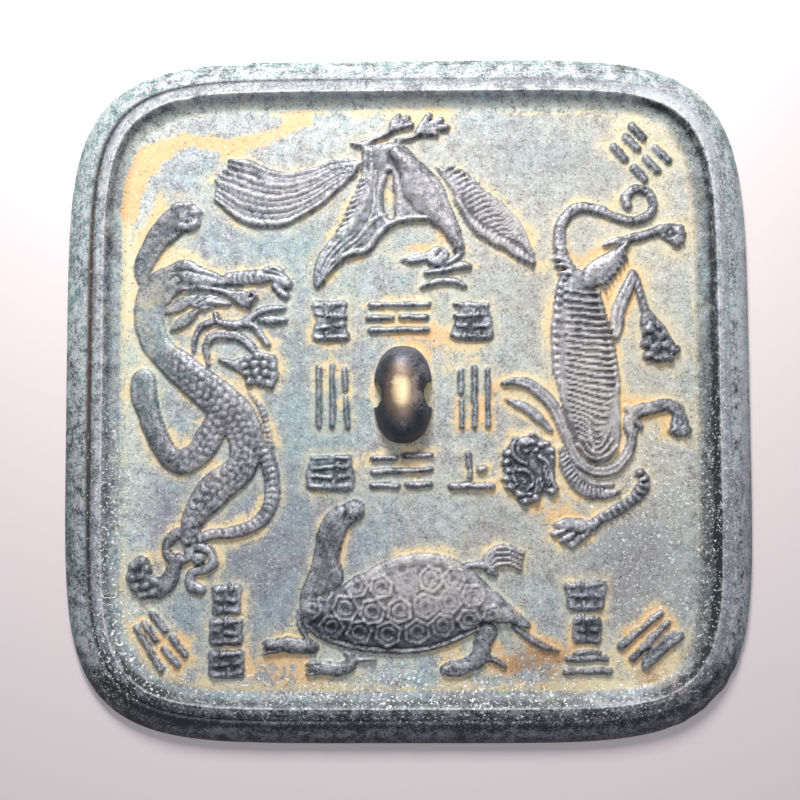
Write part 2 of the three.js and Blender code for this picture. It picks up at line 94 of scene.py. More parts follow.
def against(path, xy):
    # for each place: how far along the path it is, how far across it, and how far outside
    start = path[:-1, :2]
    step = path[1:, :2] - start
    length = np.hypot(step[:, 0], step[:, 1]) + 1e-9
    begun = np.concatenate([[0], np.cumsum(length)[:-1]])
    rel = xy[:, None, :] - start[None]
    share = np.clip((rel * step).sum(2) / length**2, 0, 1)
    off = rel - share[..., None] * step
    distance = np.hypot(off[..., 0], off[..., 1])
    if path.shape[1] > 2:
        half = path[:-1, 2] + share * (path[1:, 2] - path[:-1, 2])
    else:
        half = np.zeros_like(distance)
    pick = np.argmin(distance - half, axis=1)
    row = np.arange(len(xy))
    turn = step[pick, 0] * off[row, pick, 1] - step[pick, 1] * off[row, pick, 0]
    side = np.where(turn < 0, -1, 1)
    along = begun[pick] + share[row, pick] * length[pick]
    return along, side * distance[row, pick], half[row, pick]


def isInside(loop, xy):
    inside = np.zeros(len(xy), bool)
    for (x0, y0), (x1, y1) in zip(loop, np.roll(loop, -1, axis=0)):
        if y0 == y1:
            continue
        crosses = (y0 > xy[:, 1]) != (y1 > xy[:, 1])
        inside ^= crosses & (xy[:, 0] < (x1 - x0) * (xy[:, 1] - y0) / (y1 - y0) + x0)
    return inside


def honeycomb(x, y):
    # 0 in the middle of a six-sided cell, 1 on its edge
    def nearest(px, py):
        px = px - np.round(px)
        py = (py / 1.7320508 - np.round(py / 1.7320508)) * 1.7320508
        return px, py
    ax, ay = nearest(x, y)
    bx, by = nearest(x - 0.5, y - 0.8660254)
    useA = ax**2 + ay**2 < bx**2 + by**2
    cx, cy = np.where(useA, ax, bx), np.where(useA, ay, by)
    cx, cy = np.abs(cx), np.abs(cy)
    return 2 * np.maximum(cx, 0.5 * cx + 0.8660254 * cy)


def softStep(share):
    share = np.clip(share, 0, 1)
    return share * share * (3 - 2 * share)


def wave(phase):
    return 0.5 - 0.5 * np.cos(2 * np.pi * phase)


def chasing(look, along, across, half, pitch):
    # how deep the chased pattern goes, from 0 on its crests to 1 in its valleys
    share = across / np.maximum(half, 0.3)
    if look == "ribs":
        return wave(along / pitch) ** 0.8
    if look == "arcs":
        return wave(along / pitch - 0.45 * share**2)
    if look == "slant":
        return wave(along / pitch + 0.5 * share)
    if look == "beads":
        return np.maximum(wave(along / pitch), 0.6 * share**4)
    if look == "scales":
        sway = 0.2 * softNoise(along, across, 3.0, 31)
        cell = honeycomb(along / pitch + sway, across / pitch + 0.2 * softNoise(along, across, 2.5, 32))
        tongue = (along / pitch + sway) % 1.0
        return np.clip(cell, 0, 1) ** 3 * (0.6 + 0.4 * tongue) + 0.25 * tongue
    if look == "barbs":
        return wave(along / pitch + 0.8 * np.abs(share)) * 0.8
    if look == "cleft":
        return np.exp(-((share / 0.22) ** 2))
    if look == "twin":
        return np.exp(-(((np.abs(share) - 0.38) / 0.16) ** 2))
    if look == "toes":
        return wave(1.5 * share + 0.5) * np.clip(along / 2.5, 0, 1)
    if look == "skin":
        return wave(along / pitch) * wave(across / pitch + 0.5)
    if look == "knots":
        return np.clip(honeycomb(along / pitch + 0.3, across / pitch), 0, 1) ** 1.4
    return np.zeros_like(along)


def reliefAt(xy, reach=6.0):
    # a hand-cut model wavers a little
    x, y = xy[:, 0], xy[:, 1]
    xy = np.stack([x + 0.18 * softNoise(x, y, 2.3, 1) + 0.03 * softNoise(x, y, 0.9, 2),
                   y + 0.18 * softNoise(x, y, 2.3, 3) + 0.03 * softNoise(x, y, 0.9, 4)], 1)
    height = np.zeros(len(xy))
    gap = np.full(len(xy), reach)
    for shape in carving:
        closed = shape["form"] == "mound"
        path = smoothPath(shape["points"], closed)
        widest = path[:, 2].max() if path.shape[1] > 2 else 0
        low = path[:, :2].min(0) - widest - reach
        high = path[:, :2].max(0) + widest + reach
        near = np.nonzero(((xy > low) & (xy < high)).all(1))[0]
        if not len(near):
            continue
        along, across, half = against(path, xy[near])
        if closed:
            inside = isInside(path[:-1, :2], xy[near])
            depthIn = np.where(inside, np.abs(across), 0)
            outside = np.where(inside, 0, np.abs(across))
            rise = 1 - (1 - np.clip(depthIn / shape["edge"], 0, 1)) ** 2.2
            flank = softStep(depthIn / 0.45)
            cut = chasing(shape["look"], xy[near, 0], xy[near, 1], 3 * np.ones(len(near)), shape["pitch"])
            new = shape["height"] * flank * (0.6 + 0.4 * rise)
            new = np.where(inside, new - shape["depth"] * cut * np.clip(depthIn / 0.8, 0, 1), 0)
        elif shape["form"] == "groove":
            q = np.clip(np.abs(across) / half, 0, 1)
            height[near] -= shape["depth"] * (1 - q**2) ** 1.5 * (height[near] > 0.25)
            continue
        else:
            q = np.abs(across) / half
            outside = np.maximum(np.abs(across) - half, 0)
            flank = softStep((half + 0.15 - np.abs(across)) / 0.54)
            crown = 1 - np.clip(q, 0, 1.3) ** shape["fullness"]
            full = flank * (0.55 + 0.45 * np.clip(crown, -0.5, 1))
            cut = chasing(shape["look"], along, across, half, shape["pitch"])
            new = shape["height"] * full - shape["depth"] * cut * full
        height[near] = np.maximum(height[near], new)
        gap[near] = np.minimum(gap[near], outside)
    worn = 0.07 * softNoise(x, y, 0.8, 5) + 0.05 * softNoise(x, y, 1.9, 6)
    height += worn * np.clip(height / 0.6, 0, 1)
    return height, gap


def paw(x, y, size, turnDegrees, toes=3, height=1.4):
    # a knuckled pad with round toes spread across its front
    turn = math.radians(turnDegrees)
    ridge([(x - size * 0.45 * math.cos(turn), y - size * 0.45 * math.sin(turn), size * 0.6),
           (x + size * 0.15 * math.cos(turn), y + size * 0.15 * math.sin(turn), size * 0.82)],
          height, "knots", size * 0.55, 0.55)
    for k in range(toes):
        way = turn + math.radians(100) * (k / (toes - 1) - 0.5)
        plainRidge([(x + size * 0.45 * math.cos(way), y + size * 0.45 * math.sin(way), size * 0.3),
                    (x + size * 0.78 * math.cos(way), y + size * 0.78 * math.sin(way), size * 0.33)],
                   height * 1.05)


def carveDragon():
    ridge([(-46, 27, 1.8), (-52, 28.2, 3.2), (-58.2, 24.8, 4.2), (-60, 18, 3.6), (-58.4, 12.4, 3.4),
           (-54.8, 8.6, 3.4)], 1.6, "skin", 1.5, 0.1, 2.6)
    ridge([(-56.4, 10.2, 2.4), (-54.4, 8.4, 3.6), (-49, 3.8, 4.0), (-43.6, -0.6, 4.3), (-39, -5.4, 4.5),
           (-37, -11, 4.2), (-38.6, -16.6, 3.6), (-43.4, -20.6, 4.0), (-47.4, -25, 3.4), (-49.8, -29, 2.5),
           (-50.8, -32.6, 1.6)], 1.8, "scales", 1.9, 0.42, 2.6)
    # the fringe down its back, and the ribbed tail that loops round a leg
    ridge([(-36.4, 1.0, 0.5), (-33.6, -3.4, 0.9), (-32.2, -8.6, 1.0), (-31.4, -14, 1.0), (-30.2, -18, 0.6)],
          0.8, "ribs", 1.25, 0.45)
    ridge([(-34.2, -10, 1.2), (-32.2, -15, 1.8), (-31.2, -20, 1.9), (-31.6, -25, 1.8), (-34.4, -29, 1.7),
           (-39.4, -31.2, 1.5), (-45, -31.9, 1.4), (-50, -33.4, 1.4)], 1.45, "arcs", 1.5, 0.35)
    ridge([(-48.8, -31, 1.3), (-53.6, -31.9, 1.4), (-55.6, -35, 1.3), (-53.6, -37.8, 1.3),
           (-50.2, -37, 1.1), (-49, -34.4, 0.9)], 1.35)
    ridge([(-50.6, -35.6, 1.0), (-48.2, -34.8, 1.2), (-45.4, -35.8, 1.3), (-44.8, -38.4, 1.3),
           (-47.2, -39.9, 1.2), (-49.6, -40.8, 1.2), (-49.8, -43.2, 1.5), (-47.8, -44.4, 1.5)], 1.3)
    plainRidge([(-48.3, -37.6, 1.5), (-47.9, -37.4, 1.5)], 1.75)
    groove([(-48.4, -37.2, 0.35), (-47.7, -37.7, 0.35)], 0.35)
    # the arm raised behind the head
    ridge([(-52.4, 42.6, 3.4), (-55, 40.4, 3.5), (-57.8, 37.4, 3.1), (-60, 34, 2.7), (-61.6, 30.4, 2.3),
           (-61.4, 27.6, 1.8)], 1.4, "plain", 1, 0, 2.4)
    ridge([(-62.2, 29, 0.4), (-61.6, 27, 0.5), (-59.8, 26.4, 0.5), (-58.6, 27.6, 0.4)], 1.5)
    mound([(-55.6, 44.2), (-53.4, 46), (-50.4, 46), (-48.2, 43.8), (-48.4, 40.4), (-50.6, 38.6),
           (-53.6, 39.2), (-55.6, 41.2)], 1.4, 1.4, "knots", 2.0, 0.25)
    for x, y, size in ((-53.6, 44.8, 1.2), (-51.2, 45, 1.1), (-49.4, 43.2, 1.2), (-49.7, 40.4, 1.2),
                       (-52.6, 39.9, 1.1), (-52.2, 42.4, 1.3)):
        plainRidge([(x - 0.5, y - 0.2, size), (x + 0.3, y + 0.2, size)], 1.62)
    # the bent leg behind the body
    ridge([(-61.2, 3.6, 3.0), (-61, 0, 3.1), (-60, -4, 2.6), (-58, -9, 2.6), (-56, -12.6, 2.6)], 1.5,
          "plain", 1, 0, 2.4)
    ridge([(-57.6, -10, 2.4), (-55.6, -13.2, 2.7), (-52.4, -15.2, 2.9), (-48.4, -13, 3.2), (-45, -8, 3.2),
           (-42.6, -3.4, 2.8)], 1.6, "scales", 1.85, 0.4)
    # the lower hind foot, a fist of round knuckles
    ridge([(-52.8, -37, 1.1), (-54, -40, 1.7), (-55.2, -42.6, 2.1), (-57.6, -44.2, 2.5)], 1.4, "plain",
          1, 0, 2.4)
    mound([(-64.6, -40.6), (-63.4, -37.4), (-61.4, -36.4), (-59.4, -37.8), (-58.6, -40.4), (-57, -41.8),
           (-56.4, -45), (-58.4, -46.8), (-61.6, -46.4), (-64, -44.2)], 1.35, 1.5)
    for x, y, size in ((-62.9, -39, 1.2), (-61.2, -37.9, 1.1), (-60, -39.6, 1.0), (-63.4, -41.6, 1.2),
                       (-61.4, -41, 1.2), (-62.6, -43.8, 1.25), (-60.4, -43.4, 1.2), (-60.6, -45.6, 1.2),
                       (-58.6, -45, 1.3)):
        plainRidge([(x - 0.3, y - 0.1, size), (x + 0.3, y + 0.1, size)], 1.85)
    # mane, brow and locks
    mound([(-58, 27), (-57.2, 29.8), (-54.8, 31.6), (-51, 32.2), (-47.6, 30.6), (-44.6, 29.4), (-41.6, 27),
           (-42.6, 25.6), (-48, 26.2), (-53, 26)], 1.5, 1.5)
    groove([(-55.6, 27, 0.3), (-53.8, 28.4, 0.45), (-52.4, 27.2, 0.4), (-53.4, 26.2, 0.3)], 0.5)
    groove([(-57, 29, 0.3), (-52, 29.6, 0.5), (-47, 28.6, 0.4), (-43, 27, 0.3)], 0.3)
    ridge([(-53.6, 25.2, 0.5), (-50, 25.4, 0.8), (-45.6, 25.2, 0.8), (-41.6, 24.4, 0.9), (-38.8, 22.2, 1.2),
           (-36.8, 21.2, 0.9)], 1.5)
    mound([(-41.8, 24.6), (-37.6, 24.8), (-34.6, 23.4), (-35.4, 21.8), (-37.2, 21), (-39, 22)], 1.55, 1.0)
    ridge([(-36.9, 23.6, 0.7), (-35.9, 24.3, 0.7), (-35.2, 23.5, 0.6)], 1.9)
    groove([(-36.4, 23.2, 0.35), (-36, 23.4, 0.35)], 0.8)
    mound([(-50.6, 21.6), (-48.2, 23.4), (-45, 23.9), (-41.8, 22.8), (-40.4, 21.2), (-44, 20.8),
           (-47.6, 20)], 1.3, 1.0)
    groove([(-49, 21.6, 0.35), (-46.4, 23, 0.45), (-43, 22.6, 0.4), (-41.6, 21.6, 0.3)], 0.6)
    groove([(-48.6, 21, 0.3), (-45.6, 21.2, 0.4), (-42.4, 21.4, 0.3)], 0.5)
    ridge([(-55.6, 19.8, 0.8), (-52.8, 21.4, 1.6), (-50.4, 22.8, 1.2), (-48.8, 23.6, 0.5)], 1.2)
    ridge([(-54.8, 15.6, 0.7), (-52.2, 17.4, 1.6), (-50, 19, 1.2), (-48.6, 19.9, 0.5)], 1.2)
    # open jaws, tongue and beard
    ridge([(-49.4, 10.8, 0.6), (-49.2, 13.6, 0.9), (-47.4, 16.6, 0.9), (-44.6, 17.6, 0.9),
           (-44, 19.4, 0.8)], 1.15)
    ridge([(-44.6, 19.6, 0.6), (-43.6, 17.4, 0.9), (-40.6, 16.8, 1.1), (-37.6, 17.3, 1.1),
           (-35.2, 19.2, 1.0), (-32, 20.5, 1.0), (-28.4, 20.6, 0.6)], 1.35)
    ridge([(-34.4, 17.6, 0.6), (-31.4, 17.8, 1.3), (-28.2, 17.9, 0.6)], 1.3)
    ridge([(-38.4, 17.2, 0.8), (-35.6, 16.4, 1.0), (-33.8, 14.2, 1.0), (-32.2, 12.2, 0.8)], 1.25)
    ridge([(-46.2, 7.8, 0.7), (-46.6, 11.4, 0.9), (-45.4, 14, 1.1), (-42, 14.5, 1.2), (-38.6, 13.8, 1.2),
           (-36.4, 12, 1.1), (-35.2, 10.2, 0.8)], 1.4, "cleft", 1, 0.35)
    # the arm and hand in front of the face
    ridge([(-41.4, 27.6, 1.7), (-39.4, 27.6, 2.0), (-36.6, 27.8, 1.9), (-33.6, 28, 1.8)], 1.4, "arcs",
          1.3, 0.4)
    ridge([(-34, 27.9, 1.8), (-31.4, 28.4, 1.7), (-29, 27.2, 1.6), (-27.8, 26.2, 1.3)], 1.35)
    ridge([(-33.4, 29.4, 0.6), (-31, 30.2, 0.8), (-29, 29.2, 0.7)], 1.35)
    ridge([(-30.6, 26, 0.9), (-29.2, 24.4, 1.1), (-28, 23.4, 1.0)], 1.3)
    groove([(-33, 29, 0.25), (-30.6, 28.6, 0.35), (-28.4, 27.6, 0.25)], 0.4)
    # the clenched paw under the jaw
    mound([(-41.2, 8.4), (-37.6, 9.6), (-31, 10), (-29.6, 6.6), (-30.2, 3), (-33.4, 1.9), (-37, 3.4),
           (-39.6, 6)], 0.9, 1.2)
    for row in range(4):
        y = 9.0 - 1.9 * row
        shift = 0.8 * abs(row - 1.2)
        ridge([(-38 + shift, y, 0.95), (-34, y + 0.5, 1.1),
               (-30.8 - 0.5 * shift, y + 0.1 - 0.3 * row, 1.0)], 1.55, "beads", 2.4, 0.55)
    ridge([(-43.4, 8.6, 0.6), (-40.6, 7.8, 1.1), (-38.2, 6.6, 1.6)], 1.3, "knots", 1.5, 0.4)


def carveBird():
    # the tail sheaf
    count = 9
    high = [(-10.5, 55), (-16, 55.3), (-22, 53), (-27.5, 51.9), (-32, 52.6), (-37, 54.9), (-41.5, 55.4)]
    low = [(-11.5, 52.4), (-16, 48.6), (-20.4, 45), (-25.4, 42), (-31.4, 40.6), (-38, 41.7), (-44.6, 46.4)]
    for k in range(count):
        share = k / (count - 1)
        bulge = math.sin(math.pi * share)
        trim = 0.02 * ((k * 7) % 4) / 3
        points = []
        for n, ((hx, hy), (lx, ly)) in enumerate(zip(high, low)):
            gap = math.hypot(lx - hx, ly - hy) / (count - 1)
            stretch = 1.0 + (0.035 * bulge - trim) * (n / 6)
            thin = 0.62 if n == 6 else 1.0
            points.append(((hx + share * (lx - hx)) * stretch, hy + share * (ly - hy),
                           max(0.4, gap * 0.66 * thin)))
        ridge(points, 1.45 - 0.5 * abs(share - 0.6) - 0.12 * (k % 2), "barbs", 1.3, 0.1, 2.0)
    mound([(-10.5, 54.6), (-16, 55), (-22, 53), (-27.5, 52), (-33, 52.6), (-40, 53.6), (-43.4, 50),
           (-42, 45.6), (-37.6, 42.6), (-31.4, 41), (-25.4, 42.4), (-20.4, 45.4), (-16, 48.8),
           (-11.5, 52.6)], 1.02, 2.4)
    # body and near wing in one sweep, with an open slit between them
    mound([(-9.8, 58.8), (-6, 59.4), (-2, 59.8), (0.8, 58.2), (3.6, 54.8), (6.2, 51), (8.8, 46.8),
           (11.2, 41.6), (13.2, 37), (13.8, 33.4), (12.6, 32.6), (11.2, 33.6), (10.4, 37), (8.4, 39.8),
           (5, 41), (1, 41.2), (-2.8, 39.8), (-5.6, 37.2), (-7.2, 34.4), (-9.8, 33.2), (-13.2, 32.6),
           (-16.4, 30.6), (-18.8, 26.6), (-20.4, 25), (-21.8, 26.4), (-21.4, 31), (-19.6, 34.8),
           (-15.8, 38.8), (-13.4, 42.8), (-11.6, 46.4), (-10.4, 50), (-10.6, 54.6)], 1.25, 1.7)
    plainRidge([(-2.2, 57, 1.6), (1.2, 53, 3.0), (4, 48.4, 4.6), (6.8, 44.4, 3.6), (10, 40, 2.2),
                (12.4, 35, 1.3)], 2.2)
    plainRidge([(-8, 57.4, 1.2), (-8, 52, 1.6), (-9, 46.6, 1.8), (-11.6, 41.6, 1.9), (-15, 37, 1.9)],
               1.5)
    for k in range(10):
        x, y = -9.4 - 0.62 * k, 51.6 - 1.32 * k
        plainRidge([(x + 1.6, y + 0.1, 0.5), (x - 0.9, y - 0.9, 0.55)], 1.45)
    for k in range(5):
        share = k / 4
        plainRidge([(-13.4 + 2.6 * share, 40.2 - 4.4 * share, 0.55),
                    (-17.6 + 3.2 * share, 36 - 3.4 * share, 0.65),
                    (-20.6 + 3.2 * share, 31 - 1.4 * share, 0.6),
                    (-20.9 + 1.3 * share, 27 - 0.8 * share, 0.4)], 1.5)
    plainRidge([(-17.6, 31.2, 0.6), (-13.4, 33.2, 0.9), (-9.4, 34.2, 1.0), (-6.8, 37.2, 1.0),
                (-3.8, 40, 0.9), (0.4, 41.6, 0.8), (5, 41.4, 0.7), (8.8, 40.2, 0.6), (10.8, 37, 0.5),
                (11.4, 34, 0.4)], 1.6)
    plainRidge([(-12.6, 35.6, 0.6), (-10, 38.4, 0.8), (-7.4, 41, 0.8), (-4, 42.6, 0.6)], 1.55)
    plainRidge([(-6.8, 52.6, 0.5), (-7.2, 47.6, 0.6), (-7.6, 43, 0.6), (-9.6, 39.6, 0.5)], 1.5)
    groove([(-3.6, 52, 0.8), (-4, 48.4, 1.9), (-3.9, 44.6, 2.2), (-3.4, 42.2, 1.5)], 1.5)
    groove([(2, 55.6, 0.3), (5.8, 50.4, 0.35), (9.4, 44.8, 0.3)], 0.12)
    # the far wing: fine curved feathers over a thick front edge
    mound([(6.6, 54.4), (9.4, 53.6), (14, 51.2), (19, 48.2), (24, 44.2), (27.6, 39.8), (29.4, 35),
           (30.2, 31.4), (27, 32.4), (22.6, 35.2), (18.4, 37.2), (15, 40.4), (12.2, 45), (9.4, 49.6)],
          0.85, 1.4)
    for k in range(17):
        share = k / 16
        x0, y0 = 8.6 + 12.4 * share, 52.6 - 15.8 * share ** 0.9
        x2, y2 = 11.6 + 18.2 * share ** 0.85, 53.2 - 20.2 * share ** 1.25
        x1, y1 = (x0 + x2) / 2 + 0.8 * (1 - share), (y0 + y2) / 2 + 0.9 + share
        plainRidge([(x0, y0, 0.35), (x1, y1, 0.5), (x2, y2, 0.4)], 1.2)
    ridge([(12, 46, 0.8), (14.4, 42, 1.1), (17, 38.8, 1.5), (21, 36.4, 1.5), (25.4, 33.8, 1.4),
           (29.6, 31, 0.9)], 1.5, "slant", 1.3, 0.2)
    # legs and claws
    ridge([(-12.8, 59.4, 0.4), (-10.6, 59.1, 0.9), (-8.2, 59.8, 0.9), (-5.6, 61, 0.7), (-3, 62.4, 0.7)],
          1.25)
    ridge([(-10, 58.8, 1.0), (-7.6, 56.8, 1.4)], 1.25)
    ridge([(-2.2, 60.3, 0.5), (0.8, 60.5, 0.6), (3.2, 61.6, 0.6)], 1.2)
    ridge([(-1.6, 60, 0.6), (-0.6, 57.4, 0.9)], 1.2)
    for x, y, ends in ((-3.4, 62.4, ((-1.6, 65.8), (0.6, 65.4), (1.4, 63.8))),
                       (2.8, 61.6, ((5.6, 65.8), (8.4, 64.9), (9.6, 63.3), (7.2, 61.6)))):
        for endX, endY in ends:
            ridge([(x, y, 0.7), ((x + endX) / 2 - 0.2, (y + endY) / 2 + 0.3, 0.95), (endX, endY, 0.9)],
                  1.4, "cleft", 1, 0.25)
    # head, bill and wattles
    mound([(4.8, 30.8), (5, 33.8), (7.8, 35.3), (10, 34), (9.8, 31.8), (8, 30)], 1.45, 1.1)
    groove([(7, 32.4, 0.35), (8.2, 33.9, 0.45), (9, 33, 0.35)], 0.6)
    ridge([(-1, 31.8, 0.5), (1.4, 31.9, 1.0), (4.2, 32.5, 1.1), (6, 33.2, 0.8)], 1.35, "cleft", 1, 0.4)
    ridge([(4.6, 28.8, 0.6), (7, 29.1, 0.8), (10.4, 29.7, 0.9), (13, 30.5, 1.2), (14.6, 30.4, 0.9)], 1.35)
    ridge([(8, 30.2, 0.6), (10.2, 31.4, 0.8), (12.4, 32.8, 0.8)], 1.15)
    ridge([(3.6, 25.2, 0.5), (5.8, 26.4, 0.9), (8.6, 27, 1.0), (11.4, 26.6, 0.9), (13.8, 25.5, 0.5)], 1.35)


def carveTiger():
    body = [(39.6, 27, 2.4), (40.2, 22.6, 4.4), (40.2, 17, 5.2), (40.8, 10, 6.2), (41.8, 3, 6.9),
            (43, -4, 6.6), (44, -9.4, 5.4), (44.4, -12.6, 3.6)]
    ridge(body, 1.6, "plain", 1, 0, 3.0)
    # ribs that bow round the chest and open out towards the shoulder
    count = 25
    for k in range(count):
        share = (k / (count - 1)) ** 0.92
        y = 24 - 35.4 * share
        left = 37 + 1.4 * share**2 + max(0, share - 0.75) * 7
        right = 44.8 + 3.6 * math.sin(math.pi * min(share * 1.12, 1))
        sag = 0.5 + 3.0 * share**2
        wobble = 0.2 * math.sin(5.1 * k)
        plainRidge([(left - 0.4, y + 0.5 * sag, 0.42), (left + 2.2, y + 0.1 * sag + wobble * 0.4, 0.52),
                    ((left + right) / 2 + 0.4, y - 0.4 * sag, 0.56),
                    (right - 1.6, y - 0.7 * sag - wobble * 0.4, 0.52), (right, y - 0.65 * sag, 0.4)],
                   2.15 - 0.05 * (k % 3))
    for bow in range(3):
        plainRidge([(39.4 + bow, -11.4 + 1.2 * bow, 0.4), (42 + 0.5 * bow, -14.4 + 1.3 * bow, 0.5),
                    (45.4 - 0.2 * bow, -14.4 + 1.5 * bow, 0.5), (48.6 - bow, -11.6 + 1.6 * bow, 0.4)],
                   2.2)
    # the knobbed back and flank
    ridge([(36.6, 27.4, 1.0), (35.4, 22, 1.3), (34.9, 16, 1.3), (34.8, 10, 1.3), (35.2, 5, 1.2),
           (36, 1.4, 0.9)], 1.35, "beads", 1.9, 0.5)
    ridge([(44.6, 24, 0.8), (45.4, 19, 0.9), (46.6, 13, 1.0), (48, 7, 1.0), (48.8, 1, 0.9)], 1.4,
          "beads", 1.5, 0.3)
    # the tail
    ridge([(39.2, 28.2, 1.3), (37, 31.4, 1.6), (35.8, 35.4, 1.5), (36.2, 39.6, 1.45), (38.4, 42.8, 1.4),
           (41.6, 43.9, 1.4), (45.4, 43.2, 1.3), (49.4, 41.4, 1.2), (53, 40.6, 1.2), (56.4, 41.8, 1.2),
           (57.8, 44.6, 1.15), (56.6, 47.4, 1.1), (53.8, 48.2, 1.1), (51.4, 46.4, 1.2), (51.8, 44.2, 1.1)],
          1.45, "arcs", 1.35, 0.22)
    for k in range(3):
        ridge([(34.6 + 0.7 * k, 32 - 1.8 * k, 0.6), (36.6 + 0.7 * k, 31.6 - 1.6 * k, 0.8),
               (38.4 + 0.6 * k, 30.6 - 1.4 * k, 0.6)], 1.7)
    # the upper hind leg
    ridge([(42.4, 26.6, 2.2), (45, 28.8, 3.1), (48, 31.4, 2.2), (50.2, 33.6, 1.2), (51.4, 35.4, 1.0)], 1.8,
          "plain", 1, 0, 2.2)
    for k in range(7):
        x, y = 45.2 + 0.8 * k, 25.4 + 1.15 * k
        plainRidge([(x - 1.2, y + 0.9, 0.4), (x + 0.6, y + 0.5, 0.5), (x + 1.2, y - 0.8, 0.45)], 1.7)
    ridge([(46.2, 35, 0.5), (49, 35.8, 1.0), (52.6, 36.4, 1.2), (56.4, 37.6, 1.2), (59.6, 38.6, 1.4)], 1.3)
    groove([(47.4, 35.6, 0.25), (50.6, 36, 0.35), (54, 36.8, 0.25)], 0.4)
    paw(62, 37.6, 3.2, -20, 4)
    # the lower hind leg
    ridge([(48.4, 13.6, 1.0), (48.9, 16.6, 1.7), (49.4, 20, 1.7), (51.2, 24, 1.5), (52.8, 27.8, 1.3)],
          1.4, "cleft", 1, 0.25)
    ridge([(52.6, 28.4, 1.1), (54, 25, 1.3), (55, 21.4, 1.1), (56, 18, 1.3)], 1.35, "slant", 1.5, 0.35)
    ridge([(56, 17.4, 1.9), (57.6, 14.2, 3.0), (59, 11, 3.3)], 1.5, "knots", 2.1, 0.5)
    for x, y, size in ((56.2, 9.2, 1.2), (58.4, 8.4, 1.25), (60.6, 8.6, 1.25), (62, 10.4, 1.1),
                       (55.8, 12, 1.1), (57.6, 11, 1.2), (60, 11.4, 1.2), (58.6, 13.6, 1.15),
                       (56.4, 15, 1.1)):
        plainRidge([(x - 0.4, y, size), (x + 0.4, y, size)], 1.75)
    # the flames at the shoulder, and the long double band under the chest
    ridge([(22.2, 2.7, 0.6), (25.4, 3.2, 1.2), (29, 2.2, 1.5), (32.4, -0.6, 1.6), (35, -4.6, 1.5),
           (36.8, -9.4, 1.4), (38.8, -14, 1.3), (41.8, -17, 1.3), (45.6, -17.8, 1.3), (49.2, -16, 1.3),
           (51.4, -12.4, 1.3), (52.2, -8.6, 1.4)], 1.5, "cleft", 1, 0.45)
    ridge([(23.2, -1, 0.5), (26.6, -2.4, 1.2), (30.2, -4.8, 1.3), (33.4, -8.2, 0.6)], 1.2, "twin", 1, 0.3)
    ridge([(35.6, -12.6, 1.0), (36.8, -16.6, 1.6), (38.6, -20, 1.7), (41.6, -22.2, 1.6), (45, -22.8, 1.4),
           (48.6, -22.2, 0.8)], 1.45, "slant", 1.1, 0.6)
    ridge([(37.4, -14, 0.6), (39.8, -18.4, 0.8), (43.4, -20.6, 0.8), (47.4, -20.6, 0.6)], 1.1)
    # the upper foreleg
    ridge([(52, -9.4, 1.3), (51.4, -6.4, 1.6), (53.4, -4, 1.7), (57, -3, 1.5), (60.4, -2.4, 1.5),
           (62.6, -3.8, 1.7)], 1.45, "cleft", 1, 0.15)
    ridge([(51, -3.2, 0.9), (52.4, -5.4, 0.9), (54, -7.2, 0.9)], 1.5)
    paw(63, -6.8, 3.0, -85, 4)
    # the lower foreleg
    ridge([(53.6, -18, 1.3), (54.6, -20.4, 1.6), (52.8, -23.4, 1.6), (49.4, -25.8, 1.5), (45.8, -27.8, 1.5),
           (42.4, -30, 1.4)], 1.6, "beads", 1.55, 0.95)
    ridge([(42.6, -30.2, 1.3), (39.6, -30.2, 2.0), (36.8, -29.8, 1.8), (35, -30, 1.2)], 1.35)
    ridge([(41.4, -32, 0.9), (38.6, -33.8, 1.2), (37.6, -34.6, 0.9)], 1.35, "beads", 1.4, 0.4)
    ridge([(38, -32, 0.9), (35.8, -33.4, 1.1)], 1.35)
    ridge([(36, -31.2, 0.8), (33.8, -32, 1.0)], 1.3)
